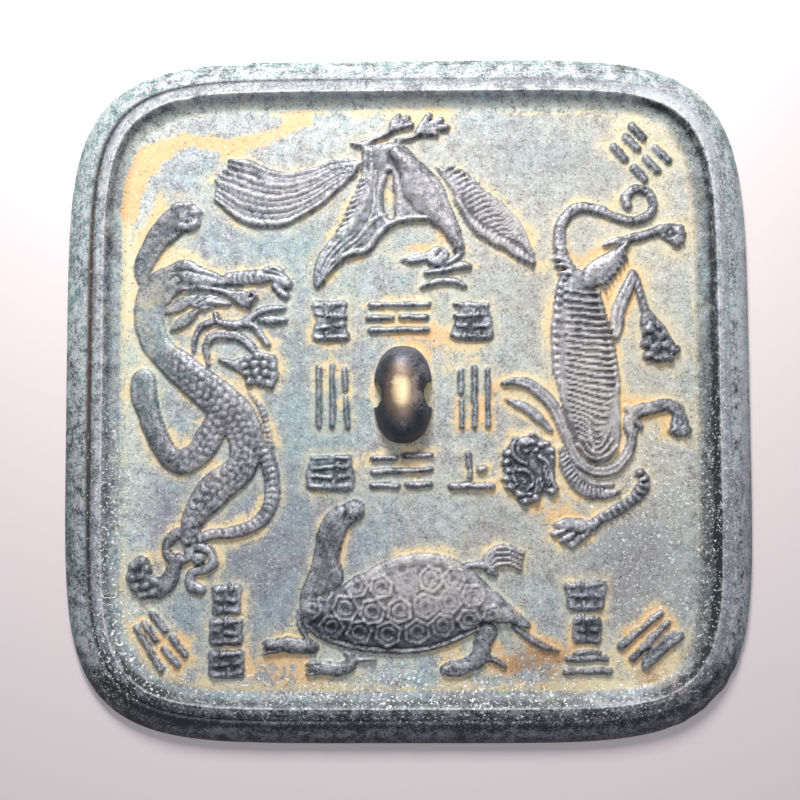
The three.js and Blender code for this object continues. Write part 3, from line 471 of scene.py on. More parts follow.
    # the head, seen from above: ear, eye, locks, and the knots of the mane
    mound([(23.4, -11.4), (25, -9.6), (27.6, -9.2), (29.4, -8.4), (31.4, -9.8), (33.2, -11),
           (34.4, -13.2), (34.4, -16), (34.4, -19.4), (35.2, -21.8), (33.8, -23), (31.2, -22.8),
           (30.4, -24.4), (27.4, -25.8), (25.2, -24.4), (23.4, -21.8), (22.2, -18.6), (22.2, -14.6)],
          1.15, 1.5)
    locks = [[(24.7, -10.6, 0.5), (24.3, -12.8, 0.7), (25.2, -14.6, 0.75), (27.4, -15.8, 0.6)],
             [(25.8, -11.9, 0.4), (25.8, -13.2, 0.5), (26.8, -14.4, 0.4)],
             [(30.3, -14.2, 0.6), (32.2, -15.2, 0.9), (33, -17.4, 0.9), (33.4, -19.6, 0.85),
              (34.6, -21.6, 0.6)], [(31.6, -16.4, 0.4), (32, -18.8, 0.5), (32.8, -20.8, 0.4)],
             [(25.2, -17.2, 0.4), (27.2, -17.2, 0.6), (28.8, -18.6, 0.65), (28.8, -20.6, 0.6),
              (27.4, -22, 0.4)], [(29.6, -19, 0.4), (29.9, -20.8, 0.5), (29.6, -22.4, 0.4)],
             [(30.7, -19.2, 0.35), (30.9, -20.8, 0.45), (30.4, -22.2, 0.35)],
             [(24.9, -16.6, 0.4), (24.6, -18.6, 0.5), (25.2, -20.8, 0.4)]]
    for lock in locks:
        plainRidge(lock, 1.95)
    for x, y, size in ((25, -9.9, 0.8), (27.2, -11, 0.85), (29, -10.7, 0.9), (30.7, -11.6, 0.8),
                       (29.1, -9.1, 0.7), (32.2, -11.2, 0.8), (33.3, -12.7, 0.8), (33.6, -14.4, 0.6),
                       (27.6, -12.8, 0.6), (29.6, -12.8, 0.6), (23.1, -13.4, 0.9), (22.8, -15.5, 0.95),
                       (23.5, -17.4, 0.9), (23, -19.3, 0.9), (23.8, -21.3, 0.95), (26, -22.9, 1.0),
                       (27.1, -24.5, 0.95), (29.7, -23.7, 0.9), (33.4, -22.3, 0.9), (28.2, -22.8, 0.6)):
        plainRidge([(x - 0.25, y, size), (x + 0.25, y, size)], 1.85)
    plainRidge([(26.6, -19.5, 0.85), (27, -19.7, 0.85)], 1.9)
    groove([(26.6, -19.6, 0.4), (27, -19.6, 0.4)], 0.7)


def carveTortoise():
    shell = [(-25, -49), (-23.6, -51.6), (-20.4, -54.2), (-15.4, -56.2), (-9, -57.5), (-2, -58),
             (4.6, -57.4), (9.8, -55.8), (14.6, -53.8), (19.4, -52.2), (23.6, -52.2), (28.4, -52.8),
             (26.6, -50.6), (24, -48.4), (20.6, -45.2), (17.2, -42), (13.6, -39), (10, -37), (6, -35.9),
             (0.4, -36.2), (-4.6, -37.6), (-9.4, -40.2), (-13, -43), (-17, -43.8), (-21, -43)]
    mound(shell, 1.45, 2.0)
    # the rim of the shell, and its six-sided plates with a ring in each
    ridge([(-24.8, -49.6, 0.6), (-23.4, -52.2, 0.8), (-20, -54.8, 0.8), (-15.2, -56.8, 0.8),
           (-9, -58, 0.8), (-2, -58.5, 0.8), (4.8, -57.9, 0.8), (10, -56.2, 0.8), (14.8, -54.2, 0.7),
           (19.6, -52.8, 0.6)], 1.2)
    plainRidge([(-22, -48.4, 2.4), (-15, -49, 5.2), (-5, -47.8, 8.4), (4, -46.8, 8.8), (11, -46.4, 6.6),
                (17.6, -48.4, 3.6), (24, -51, 1.4)], 2.3)
    plates = [(-17.4, -52.7, 2.8, 0.4), (-11, -54, 2.9, 0.45), (-4.4, -54.4, 2.9, 0.45),
              (2.2, -54, 2.8, 0.35), (8, -52.4, 2.6, 0.3), (-22, -48.4, 2.4, 0.4),
              (-19, -44.8, 1.9, 0.3), (-14.2, -48.4, 3.0, 0.45), (-8, -49.2, 2.9, 0.4),
              (-1.8, -49, 2.8, 0.35), (4.2, -48, 2.8, 0.25), (9.6, -47, 2.6, 0.2),
              (14, -51.2, 2.5, 0.4), (19.4, -50, 2.2, 0.3), (-11.6, -43.6, 2.4, 0.35),
              (-6, -43.6, 2.6, 0.35), (0, -43, 2.6, 0.12), (5.4, -42, 2.8, 0.3),
              (10.8, -41.8, 2.5, 0.25), (15, -45.6, 2.6, 0.3)]
    for x, y, size, relief in plates:
        tilt = 0.5 + 0.012 * x
        corners = [(x + size * math.cos(math.pi * (k / 3 + tilt)),
                    y + size * math.sin(math.pi * (k / 3 + tilt))) for k in range(7)]
        for (ax, ay), (bx, by) in zip(corners, corners[1:]):
            groove([(ax, ay, 0.5), (bx, by, 0.5)], -relief)
        groove([(x + 0.5 * size * math.cos(math.pi * k / 4), y + 0.5 * size * math.sin(math.pi * k / 4),
                 0.45) for k in range(8)], -0.7 * relief)
        groove([(x - 0.3, y - 0.1, 0.4), (x + 0.3, y + 0.1, 0.4)], 0.6 * relief)
    # neck and head
    ridge([(-22.4, -50, 2.4), (-21.2, -46, 3.4), (-18.9, -41.8, 4.1), (-18.6, -38.4, 3.3),
           (-18.1, -34.7, 3.1), (-17.3, -31.2, 3.2), (-15.8, -28.6, 3.0), (-13.4, -27.2, 2.3)], 1.75,
          "skin", 1.3, 0.1, 2.6)
    ridge([(-13, -26.6, 2.3), (-12, -26.3, 2.4)], 2.0, "plain", 1, 0, 2.4)
    groove([(-14.6, -24.6, 0.3), (-14.2, -26.4, 0.4), (-14.4, -28.6, 0.3)], 0.5)
    groove([(-11.8, -28, 0.3), (-10.4, -27.4, 0.35)], 0.6)
    ridge([(-12.4, -25.2, 0.5), (-12, -25.2, 0.5)], 2.35)
    # feet
    ridge([(-25.2, -50.8, 0.6), (-24.4, -53.4, 0.7), (-23, -55.6, 0.8), (-22, -57.4, 1.4)], 1.2)
    ridge([(-21.8, -57.6, 1.6), (-25, -57.3, 1.9), (-28.6, -57, 1.7), (-31.6, -56.8, 1.0)], 1.45,
          "plain", 1, 0, 2.2)
    for k in range(3):
        ridge([(-28.4, -57.6 + 0.5 * (1 - k), 0.6), (-31.4, -57.4 + 1.1 * (1 - k), 0.65),
               (-33, -57.8 + 1.3 * (1 - k), 0.35)], 1.3)
    ridge([(-13.4, -59.2, 0.8), (-12.8, -61.2, 1.4), (-14.8, -62.6, 1.6), (-18, -62.6, 1.6),
           (-21, -62.4, 1.2)], 1.45, "plain", 1, 0, 2.2)
    for k in range(3):
        ridge([(-18, -62.2 + 0.9 * (1 - k), 0.6), (-21.4, -62.2 + 1.2 * (1 - k), 0.6),
               (-23.2, -62.6 + 1.1 * (1 - k), 0.35)], 1.3)
    ridge([(-14.2, -59, 0.7), (-11.4, -60.2, 0.9), (-7.2, -60.3, 0.4)], 1.2)
    ridge([(18.4, -54, 2.2), (17.2, -57, 2.2), (16.4, -60, 2.0), (13.4, -61.8, 1.7), (10.4, -62.6, 1.8),
           (8.8, -62.8, 1.5)], 1.5, "plain", 1, 0, 2.4)
    groove([(8, -61.8, 0.3), (11, -61.2, 0.35), (14, -60.6, 0.25)], 0.4)
    groove([(8, -63.2, 0.25), (11, -62.8, 0.3)], 0.3)
    ridge([(17.8, -60, 0.8), (20.2, -60.6, 0.8), (22.2, -62, 0.5)], 1.2)
    # the raised hind foot, and the tail
    ridge([(13.6, -39, 0.8), (16.6, -39, 1.0), (18.8, -39.4, 1.0), (20.2, -41.2, 0.7)], 1.2)
    ridge([(19, -40.4, 1.0), (18.4, -37.6, 1.1)], 1.3)
    for k in range(4):
        y = -35.2 - 1.25 * k
        plainRidge([(18.4 + 0.3 * k, y - 1.6 + 0.3 * k, 0.7), (20.8, y + 0.2, 0.7), (24, y + 0.1, 0.7),
                    (26.6 - 0.2 * k, y - 1.0, 0.5)], 1.3)
    ridge([(24.4, -53, 0.7), (27.6, -55.4, 0.9), (30.8, -57.4, 0.9), (34.4, -58.4, 0.5)], 1.2, "cleft",
          1, 0.3)
    ridge([(27.8, -53, 0.5), (24.4, -51.6, 0.5), (20.6, -47.2, 0.5), (17, -43.4, 0.4)], 1.5)


def bar(x0, y0, x1, y1, half=0.82, height=1.05):
    ridge([(x0, y0, half), ((2 * x0 + x1) / 3, (2 * y0 + y1) / 3, half), (x1, y1, half * 0.95)],
          height, "plain", 1, 0, 3.0)


def carveTrigrams():
    bar(-8.4, 21.3, 5.2, 21.4)
    bar(-8.8, 18.2, -3.2, 18.3)
    bar(-1.0, 18.4, 4.8, 18.5)
    bar(-8.2, 15.3, 4.9, 15.5)
    bar(-7.8, -14.4, -2.5, -14.4)
    bar(-0.6, -14.0, 5.6, -13.6)
    bar(-7.8, -17.5, 5.6, -17.1)
    bar(-8, -20.7, -2.3, -20.9)
    bar(0.2, -20.6, 5.4, -20.5)
    bar(-20.4, 6.5, -20.4, -6.8)
    bar(-17.3, 7.2, -17.2, -6.9)
    bar(-14.4, 6.2, -14.2, 1.6)
    bar(-14.0, -0.4, -13.7, -6.9)
    bar(12.7, 5.6, 12.7, 0.9)
    bar(12.7, -1.2, 12.8, -7.1)
    bar(15.8, 6.4, 15.8, -6.9)
    bar(18.8, 5.7, 18.8, -6.9)
    # in the corners of the field
    for x, y in ((54.4, 61.7), (60, 56.4), (53, 59.2), (57.6, 53.9), (50, 56.8), (54.7, 51.8)):
        bar(x - 1.3, y + 1.4, x + 1.3, y - 1.4, 1.1)
    for x, y in ((-57.3, -51.9), (-52.6, -57.4), (-59.2, -54.1), (-54.4, -59.7)):
        bar(x - 1.5, y + 1.8, x + 1.5, y - 1.8, 0.95)
    bar(-62.4, -53.2, -56.6, -62.6, 0.95)
    bar(48.8, -57.6, 57.8, -50.0, 1.0)
    bar(51.4, -60.4, 59.4, -52.2, 0.95)
    bar(54.2, -61.8, 62, -55.4, 1.2)
    mound([(53.2, -60.2), (55.4, -62), (61.8, -56.4), (60, -53.8)], 0.8, 0.9)


def carveMarks():
    # worn marks of the inscription: blocks of short strokes that spell nothing
    blocks = [[(-22, 22.2), (-17.6, 22.4), (-14, 22.2), (-14.2, 17.4), (-13, 13.2), (-17.4, 12.4),
               (-22.2, 13.4), (-21.4, 17.6)],
              [(10.6, 16), (12.4, 20.6), (14.6, 22.4), (19, 20.4), (20.2, 17), (20, 13), (15.4, 12.4),
               (10.2, 13.2)], [(-23.2, -16), (-21, -13.6), (-18.2, -14), (-13.2, -13.2), (-12.2, -16.6),
                               (-12.4, -21.8), (-18, -22), (-23, -21.6)],
              [(-45, -43.6), (-41.6, -43.2), (-38.2, -43.4), (-38, -46.8), (-38.4, -50.2),
               (-41.6, -50.4), (-45, -50.2), (-45.2, -46.8)],
              [(-45.4, -51), (-41.6, -50.8), (-37.8, -51), (-37.8, -54), (-38, -57.2), (-41.6, -57.4),
               (-45.4, -57.2), (-45.6, -54)],
              [(-45.6, -58.2), (-41.4, -58), (-37.4, -58.2), (-37.2, -61.4), (-37.6, -64.6),
               (-41.4, -64.8), (-45.6, -64.6), (-45.8, -61.4)],
              [(36.2, -43), (40.8, -42.8), (45.6, -42.4), (45.4, -47), (44.6, -49.6), (40.8, -49.8),
               (37.4, -49.4), (36, -46)], [(38, -50.6), (41, -50.4), (44, -50.6), (44.6, -53.6),
                                           (44.2, -57), (41, -57.2), (38, -57), (37.6, -53.6)]]
    shuffle = np.random.default_rng(11)
    for block in blocks:
        mound(block, 0.85, 0.9)
        (west, south), (east, north) = np.min(block, 0), np.max(block, 0)
        middle = (west + east) / 2
        rows = max(3, round((north - south) / 2.4))
        for k in range(rows):
            rowY = south + (north - south) * (k + 0.55) / rows
            split = middle + (east - west) * float(shuffle.uniform(-0.16, 0.16))
            tilt = float(shuffle.uniform(-0.4, 0.4))
            bar(west + 1.2, rowY + tilt, split - 0.8, rowY, 0.6, 1.35)
            bar(split + 0.9, rowY, east - 1.2, rowY - tilt, 0.6, 1.35)
            if k % 2 == 0:
                bar(split, rowY + 0.9, split + 0.2, rowY - 0.4, 0.5, 1.4)
    # the plainest mark, on a bare base line
    bar(10.4, -20.9, 19.8, -20.9, 0.95, 1.4)
    bar(14.2, -13.4, 14.4, -16.4, 0.8, 1.25)
    bar(14.6, -17.6, 14.5, -19.2, 0.8, 1.25)
    bar(16.8, -17, 17.8, -16.8, 0.9, 1.3)
    bar(36.8, -60.3, 45.2, -60.3, 0.9)
    bar(36, -63.1, 46, -63.2, 0.9)
    ridge([(38.2, -59.2, 0.5), (41, -58.8, 0.7), (44, -59.2, 0.5)], 1.0)


for carve in (carveTrigrams, carveMarks, carveTortoise, carveDragon, carveBird, carveTiger):
    carve()
print("relief drawn:", len(carving), "shapes")

# The plate: rounded square outline, bevelled rim, sunk field. All lengths are millimetres.
plate = {
    "half": 80.0,
    "outlinePower": 5.4,
    "fieldRings": 56,
    "fieldAt": 2.82,
    "ringShift": (0.75, 0.05),
    "shiftOver": 9.0,
    # inset from the outer edge and height, from the edge to the field
    "rim": [(0.0, 1.3), (0.2, 1.68), (0.8, 2.2), (1.7, 2.9), (2.6, 3.54), (3.6, 4.12), (4.6, 4.62),
            (5.3, 4.9), (5.75, 5.02), (5.98, 5.08), (6.15, 5.12), (6.32, 5.16), (6.5, 5.2), (6.95, 5.32),
            (7.6, 5.56), (8.2, 5.78), (8.75, 5.94), (9.0, 6.0), (9.12, 6.02), (9.26, 5.92), (9.55, 5.55),
            (10.2, 4.72), (10.8, 4.04), (11.3, 3.55), (11.7, 3.24), (12.15, 2.98), (12.6, 2.82)],
    "creaseAt": 6.15,
    "creaseWidth": 0.26,
    "creaseDepth": 0.5,
    "lipAt": 0.4,
    "footChamfer": 0.4,
    "refineWithin": 0.3,
    "cuts": 2,
    # places on the field or rim, in millimetres: x, y, then reach and strength
    "rubbed": [(-59, 17, 5, 12, 0.45), (-56, 30, 6, 4, 0.2), (9, 52, 4, 3, 0.2)],
    "crack": [(-61, 65.4), (-58.4, 69.2), (-56.6, 68.4), (-54.2, 70.6), (-51, 69.6), (-48.6, 70.8)],
    "crackWidth": 0.5,
    "crackDepth": 0.35,
    "chips": [(70.6, -70.2, 2.4, 0.9), (73.6, -64.6, 1.6, 0.6), (66, -73.8, 1.7, 0.7),
              (75.8, -58, 1.2, 0.4), (60, -76, 1.3, 0.45)],
    "chipsWithin": 2.6,
}


def ringPoint(u, v):
    # a place in the unit square, moved to its rounded-square ring in millimetres
    rings = plate["fieldRings"]
    rim = plate["rim"]
    last = rings + len(rim) - 1
    major = np.maximum(np.abs(u), np.abs(v))
    level = major * last
    insets = np.array([step[0] for step in rim[::-1]])
    heights = np.array([step[1] for step in rim[::-1]])
    half = plate["half"]
    inset = np.interp(level, np.arange(rings, last + 1), insets)
    reach = np.where(level <= rings, (half - insets[0]) * level / rings, half - inset)
    corner = half / 2 ** (1 / plate["outlinePower"])
    edgeReach = half - inset
    power = math.log(0.5) / np.log((corner - inset * math.sqrt(0.5)) / edgeReach)
    with np.errstate(divide="ignore", invalid="ignore"):
        su = np.where(major > 0, u / major, 0)
        sv = np.where(major > 0, v / major, 0)
    stretch = reach / (np.abs(su) ** power + np.abs(sv) ** power) ** (1 / power)
    stretch = np.where(major > 0, stretch, 0)
    height = np.where(level <= rings, plate["fieldAt"],
                      np.interp(level, np.arange(rings, last + 1), heights))
    shift = softStep(inset / plate["shiftOver"])
    x = su * stretch + plate["ringShift"][0] * shift
    y = sv * stretch + plate["ringShift"][1] * shift
    return x, y, height, inset


def nearPath(x, y, path, width):
    # 1 on a drawn line of patches, falling away over its width
    best = np.zeros(len(x))
    for (ax, ay), (bx, by) in zip(path, path[1:]):
        dx, dy = bx - ax, by - ay
        share = np.clip(((x - ax) * dx + (y - ay) * dy) / (dx * dx + dy * dy + 1e-9), 0, 1)
        distance = np.hypot(x - ax - share * dx, y - ay - share * dy)
        best = np.maximum(best, np.exp(-((distance / width) ** 2)))
    return best


def patches(x, y, spots):
    total = np.zeros(len(x))
    for cx, cy, wide, tall, strength in spots:
        total = total + strength * np.exp(-(((x - cx) / wide) ** 2) - (((y - cy) / tall) ** 2))
    return total


def creaseShare(x, y):
    # the crease under the upper band is open in the west, and all but closed in the south
    turn = np.arctan2(y, x)
    return np.clip(0.55 - 0.55 * np.cos(turn) - 0.1 * np.sin(turn) + 0.15 * np.maximum(np.cos(turn), 0)
                   - 0.35 * np.maximum(-np.sin(turn), 0), 0.08, 1.1)


def insetAt(x, y):
    # how far inside the outer edge a place on the plate lies, undoing the shift of the inner rings
    inset = np.zeros(len(x))
    for _ in range(3):
        shift = softStep(inset / plate["shiftOver"])
        px, py = np.abs(x - plate["ringShift"][0] * shift), np.abs(y - plate["ringShift"][1] * shift)
        major, minor = np.maximum(px, py), np.minimum(px, py)
        share = minor / np.maximum(major, 1e-6)
        for _ in range(3):
            corner = plate["half"] / 2 ** (1 / plate["outlinePower"])
            held = np.clip(inset, 0, 30)
            power = math.log(0.5) / np.log((corner - held * math.sqrt(0.5)) / (plate["half"] - held))
            inset = plate["half"] - major * (1 + share**power) ** (1 / power)
    return inset


def surfaceAt(u, v):
    x, y, z, inset = ringPoint(u, v)
    z = (z - plate["creaseDepth"] * creaseShare(x, y)
         * np.exp(-((inset - plate["creaseAt"]) / plate["creaseWidth"]) ** 2))
    relief, gap = reliefAt(np.stack([x, y], 1))
    onField = softStep((inset - 12.0) / 0.6)
    # the dragon's neck and the bird's far shoulder are worn down
    rubbed = patches(x, y, plate["rubbed"])
    z = z + relief * onField * (1 - rubbed)
    # the cast is never quite flat: long swells, pits and hammer-worn edges
    z = z + 0.09 * softNoise(x, y, 9.0, 21) * onField + 0.05 * softNoise(x, y, 3.1, 22)
    z = z + 0.03 * softNoise(x, y, 1.3, 23) * (1 - softStep((0.9 - inset) / 0.9))
    z = z - plate["crackDepth"] * nearPath(x, y, plate["crack"], plate["crackWidth"])
    # small chips along the south-east edge
    for cx, cy, size, deep in plate["chips"]:
        away = np.hypot(x - cx, y - cy) / size
        z = (z - deep * np.exp(-away ** 2) * (1 + 0.5 * softNoise(x, y, 0.8, 24))
             * (inset < plate["chipsWithin"]))
    return x, y, z, gap


def buildPlate():
    bm = bmesh.new()
    rings = plate["fieldRings"] + len(plate["rim"]) - 1
    bmesh.ops.create_grid(bm, x_segments=2 * rings, y_segments=2 * rings, size=1.0)
    flat = np.array([vert.co[:2] for vert in bm.verts])
    x, y, z, inset = ringPoint(flat[:, 0], flat[:, 1])
    gap = reliefAt(np.stack([x, y], 1))[1]
    bm.verts.index_update()
    close = (gap < plate["refineWithin"]) & (inset > 12.3)
    busy = [face for face in bm.faces if sum(close[vert.index] for vert in face.verts) > 0]
    edges = list({edge for face in busy for edge in face.edges})
    bmesh.ops.subdivide_edges(bm, edges=edges, cuts=plate["cuts"], use_grid_fill=True)
    print("plate grid refined:", len(bm.faces), "faces")
    flat = np.array([vert.co[:2] for vert in bm.verts])
    x, y, z, gap = surfaceAt(flat[:, 0], flat[:, 1])
    for vert, px, py, pz in zip(bm.verts, x, y, z):
        vert.co = (px / 1000, py / 1000, pz / 1000)
    # the edge drops to the table, and the underside closes flat
    rim = [edge for edge in bm.edges if edge.is_boundary]
    for drop, tuck in ((plate["lipAt"], 0.0), (0.0, plate["footChamfer"])):
        made = bmesh.ops.extrude_edge_only(bm, edges=rim)
        verts = [item for item in made["geom"] if isinstance(item, bmesh.types.BMVert)]
        rim = [item for item in made["geom"] if isinstance(item, bmesh.types.BMEdge)]
        for vert in verts:
            away = math.hypot(vert.co.x, vert.co.y)
            vert.co.x *= 1 - tuck / 1000 / away
            vert.co.y *= 1 - tuck / 1000 / away
            vert.co.z = drop / 1000
    base = bmesh.ops.holes_fill(bm, edges=rim, sides=0)["faces"]
    if not base:
        base = bmesh.ops.contextual_create(bm, geom=rim)["faces"]
    bmesh.ops.inset_region(bm, faces=base, thickness=0.004)
    bmesh.ops.recalc_face_normals(bm, faces=bm.faces)
    mesh = bpy.data.meshes.new("plate")
    bm.to_mesh(mesh)
    bm.free()
    return mesh


# The knob: a full oval button on two legs, bored for the cord.
knob = {
    "centre": (-0.8, 0.3),
    "half": (6.9, 11.3),
    "rise": 8.25,
    "sunk": 0.75,
    "planPower": 2.4,
    "acrossPower": 2.05,
    "alongPower": 2.8,
    "boreWidth": 5.8,
    "boreHeight": 5.8,
    "cell": 0.3,
    "smoothing": 6,
}


def bodyFrom(name, bm):
    mesh = bpy.data.meshes.new(name)
    bmesh.ops.recalc_face_normals(bm, faces=bm.faces)
    bm.to_mesh(mesh)
    bm.free()
    body = bpy.data.objects.new(name, mesh)
    bpy.context.scene.collection.objects.link(body)
    return body


def settled(body):
    # the shape with its modifiers worked in
    graph = bpy.context.evaluated_depsgraph_get()
    graph.update()
    return bpy.data.meshes.new_from_object(body.evaluated_get(graph))


def joined(first, second, operation, solver):
    modifier = first.modifiers.new(operation.lower(), "BOOLEAN")
    modifier.object = second
    modifier.operation = operation
    modifier.solver = solver
    mesh = settled(first)
    first.modifiers.remove(modifier)
    return mesh


def buildKnob():
    field = plate["fieldAt"] / 1000
    dome = bmesh.new()
    bmesh.ops.create_uvsphere(dome, u_segments=96, v_segments=64, radius=1.0)
    for vert in dome.verts:
        up = max(vert.co.z, -0.25)
        rise = min(abs(up), 1.0)
        reachX = (1 - rise ** knob["acrossPower"]) ** (1 / knob["acrossPower"]) if up > 0 else 1.0
        reachY = (1 - rise ** knob["alongPower"]) ** (1 / knob["alongPower"]) if up > 0 else 1.0
        flat = math.hypot(vert.co.x, vert.co.y)
        if flat > 1e-6:
            c, s = abs(vert.co.x) / flat, abs(vert.co.y) / flat
            swing = (c ** knob["planPower"] + s ** knob["planPower"]) ** (-1 / knob["planPower"])
            inner = flat / math.sqrt(1 - up**2)
            vert.co.x *= swing / flat * reachX * inner * knob["half"][0] / 1000
            vert.co.y *= swing / flat * reachY * inner * knob["half"][1] / 1000
        vert.co.x += knob["centre"][0] / 1000
        vert.co.y += knob["centre"][1] / 1000
        vert.co.z = field + (up * knob["rise"] if up > 0 else up * 4 * knob["sunk"]) / 1000
    domeBody = bodyFrom("knobDome", dome)
    bore = bmesh.new()
    ring = bmesh.ops.create_circle(bore, cap_ends=True, segments=48, radius=1.0)["verts"]
    for vert in ring:
        c, s = vert.co.x, vert.co.y
        width = knob["boreWidth"] / 2000
        if s >= 0:
            place = (c * width, s * width + (knob["boreHeight"] - knob["boreWidth"] / 2) / 1000)
        else:
            place = (math.copysign(abs(c) ** 0.3, c) * width, -abs(s) ** 0.3 * 0.004)
        vert.co = (-0.012, place[0] + knob["centre"][1] / 1000, field + place[1])
    out = bmesh.ops.extrude_face_region(bore, geom=list(bore.faces))["geom"]
    bmesh.ops.translate(bore, vec=(0.024, 0, 0),
                        verts=[item for item in out if isinstance(item, bmesh.types.BMVert)])
    boreBody = bodyFrom("knobBore", bore)
    domeBody.data = joined(domeBody, boreBody, "DIFFERENCE", "EXACT")
    remesh = domeBody.modifiers.new("even", "REMESH")
    remesh.mode = "VOXEL"
    remesh.voxel_size = knob["cell"] / 1000
    smooth = domeBody.modifiers.new("worn", "SMOOTH")
    smooth.factor = 0.5
    smooth.iterations = knob["smoothing"]
    domeBody.data = settled(domeBody)
    domeBody.modifiers.clear()
    bpy.data.objects.remove(boreBody)
    print("knob shaped:", len(domeBody.data.polygons), "faces")
    return domeBody


def buildMirror():
    mirror = bpy.data.objects.new("bronzeMirror", buildPlate())
    bpy.context.scene.collection.objects.link(mirror)
    knobBody = buildKnob()
    mesh = joined(mirror, knobBody, "UNION", "MANIFOLD")
    if len(mesh.polygons) < len(mirror.data.polygons):
        mesh = joined(mirror, knobBody, "UNION", "EXACT")
    mirror.data = mesh
    bpy.data.objects.remove(knobBody)
    mesh.polygons.foreach_set("use_smooth", np.ones(len(mesh.polygons), bool))
    print("mirror joined:", len(mesh.polygons), "faces")
    return mirror


mirror = buildMirror()


# What lies on the bronze, and where shade and highlights are painted on it: masks kept on the mesh for its
# patina.
def blur(values, edges, rounds):
    count = len(values)
    degree = np.bincount(edges.ravel(), minlength=count) + 1.0
    for _ in range(rounds):
        total = values.copy()
        total += np.bincount(edges[:, 0], weights=values[edges[:, 1]], minlength=count)
        total += np.bincount(edges[:, 1], weights=values[edges[:, 0]], minlength=count)
        values = total / degree
    return values


def addMask(mesh, name, values):
    layer = mesh.attributes.new(name, "FLOAT", "POINT")
    layer.data.foreach_set("value", values.astype(np.float32))
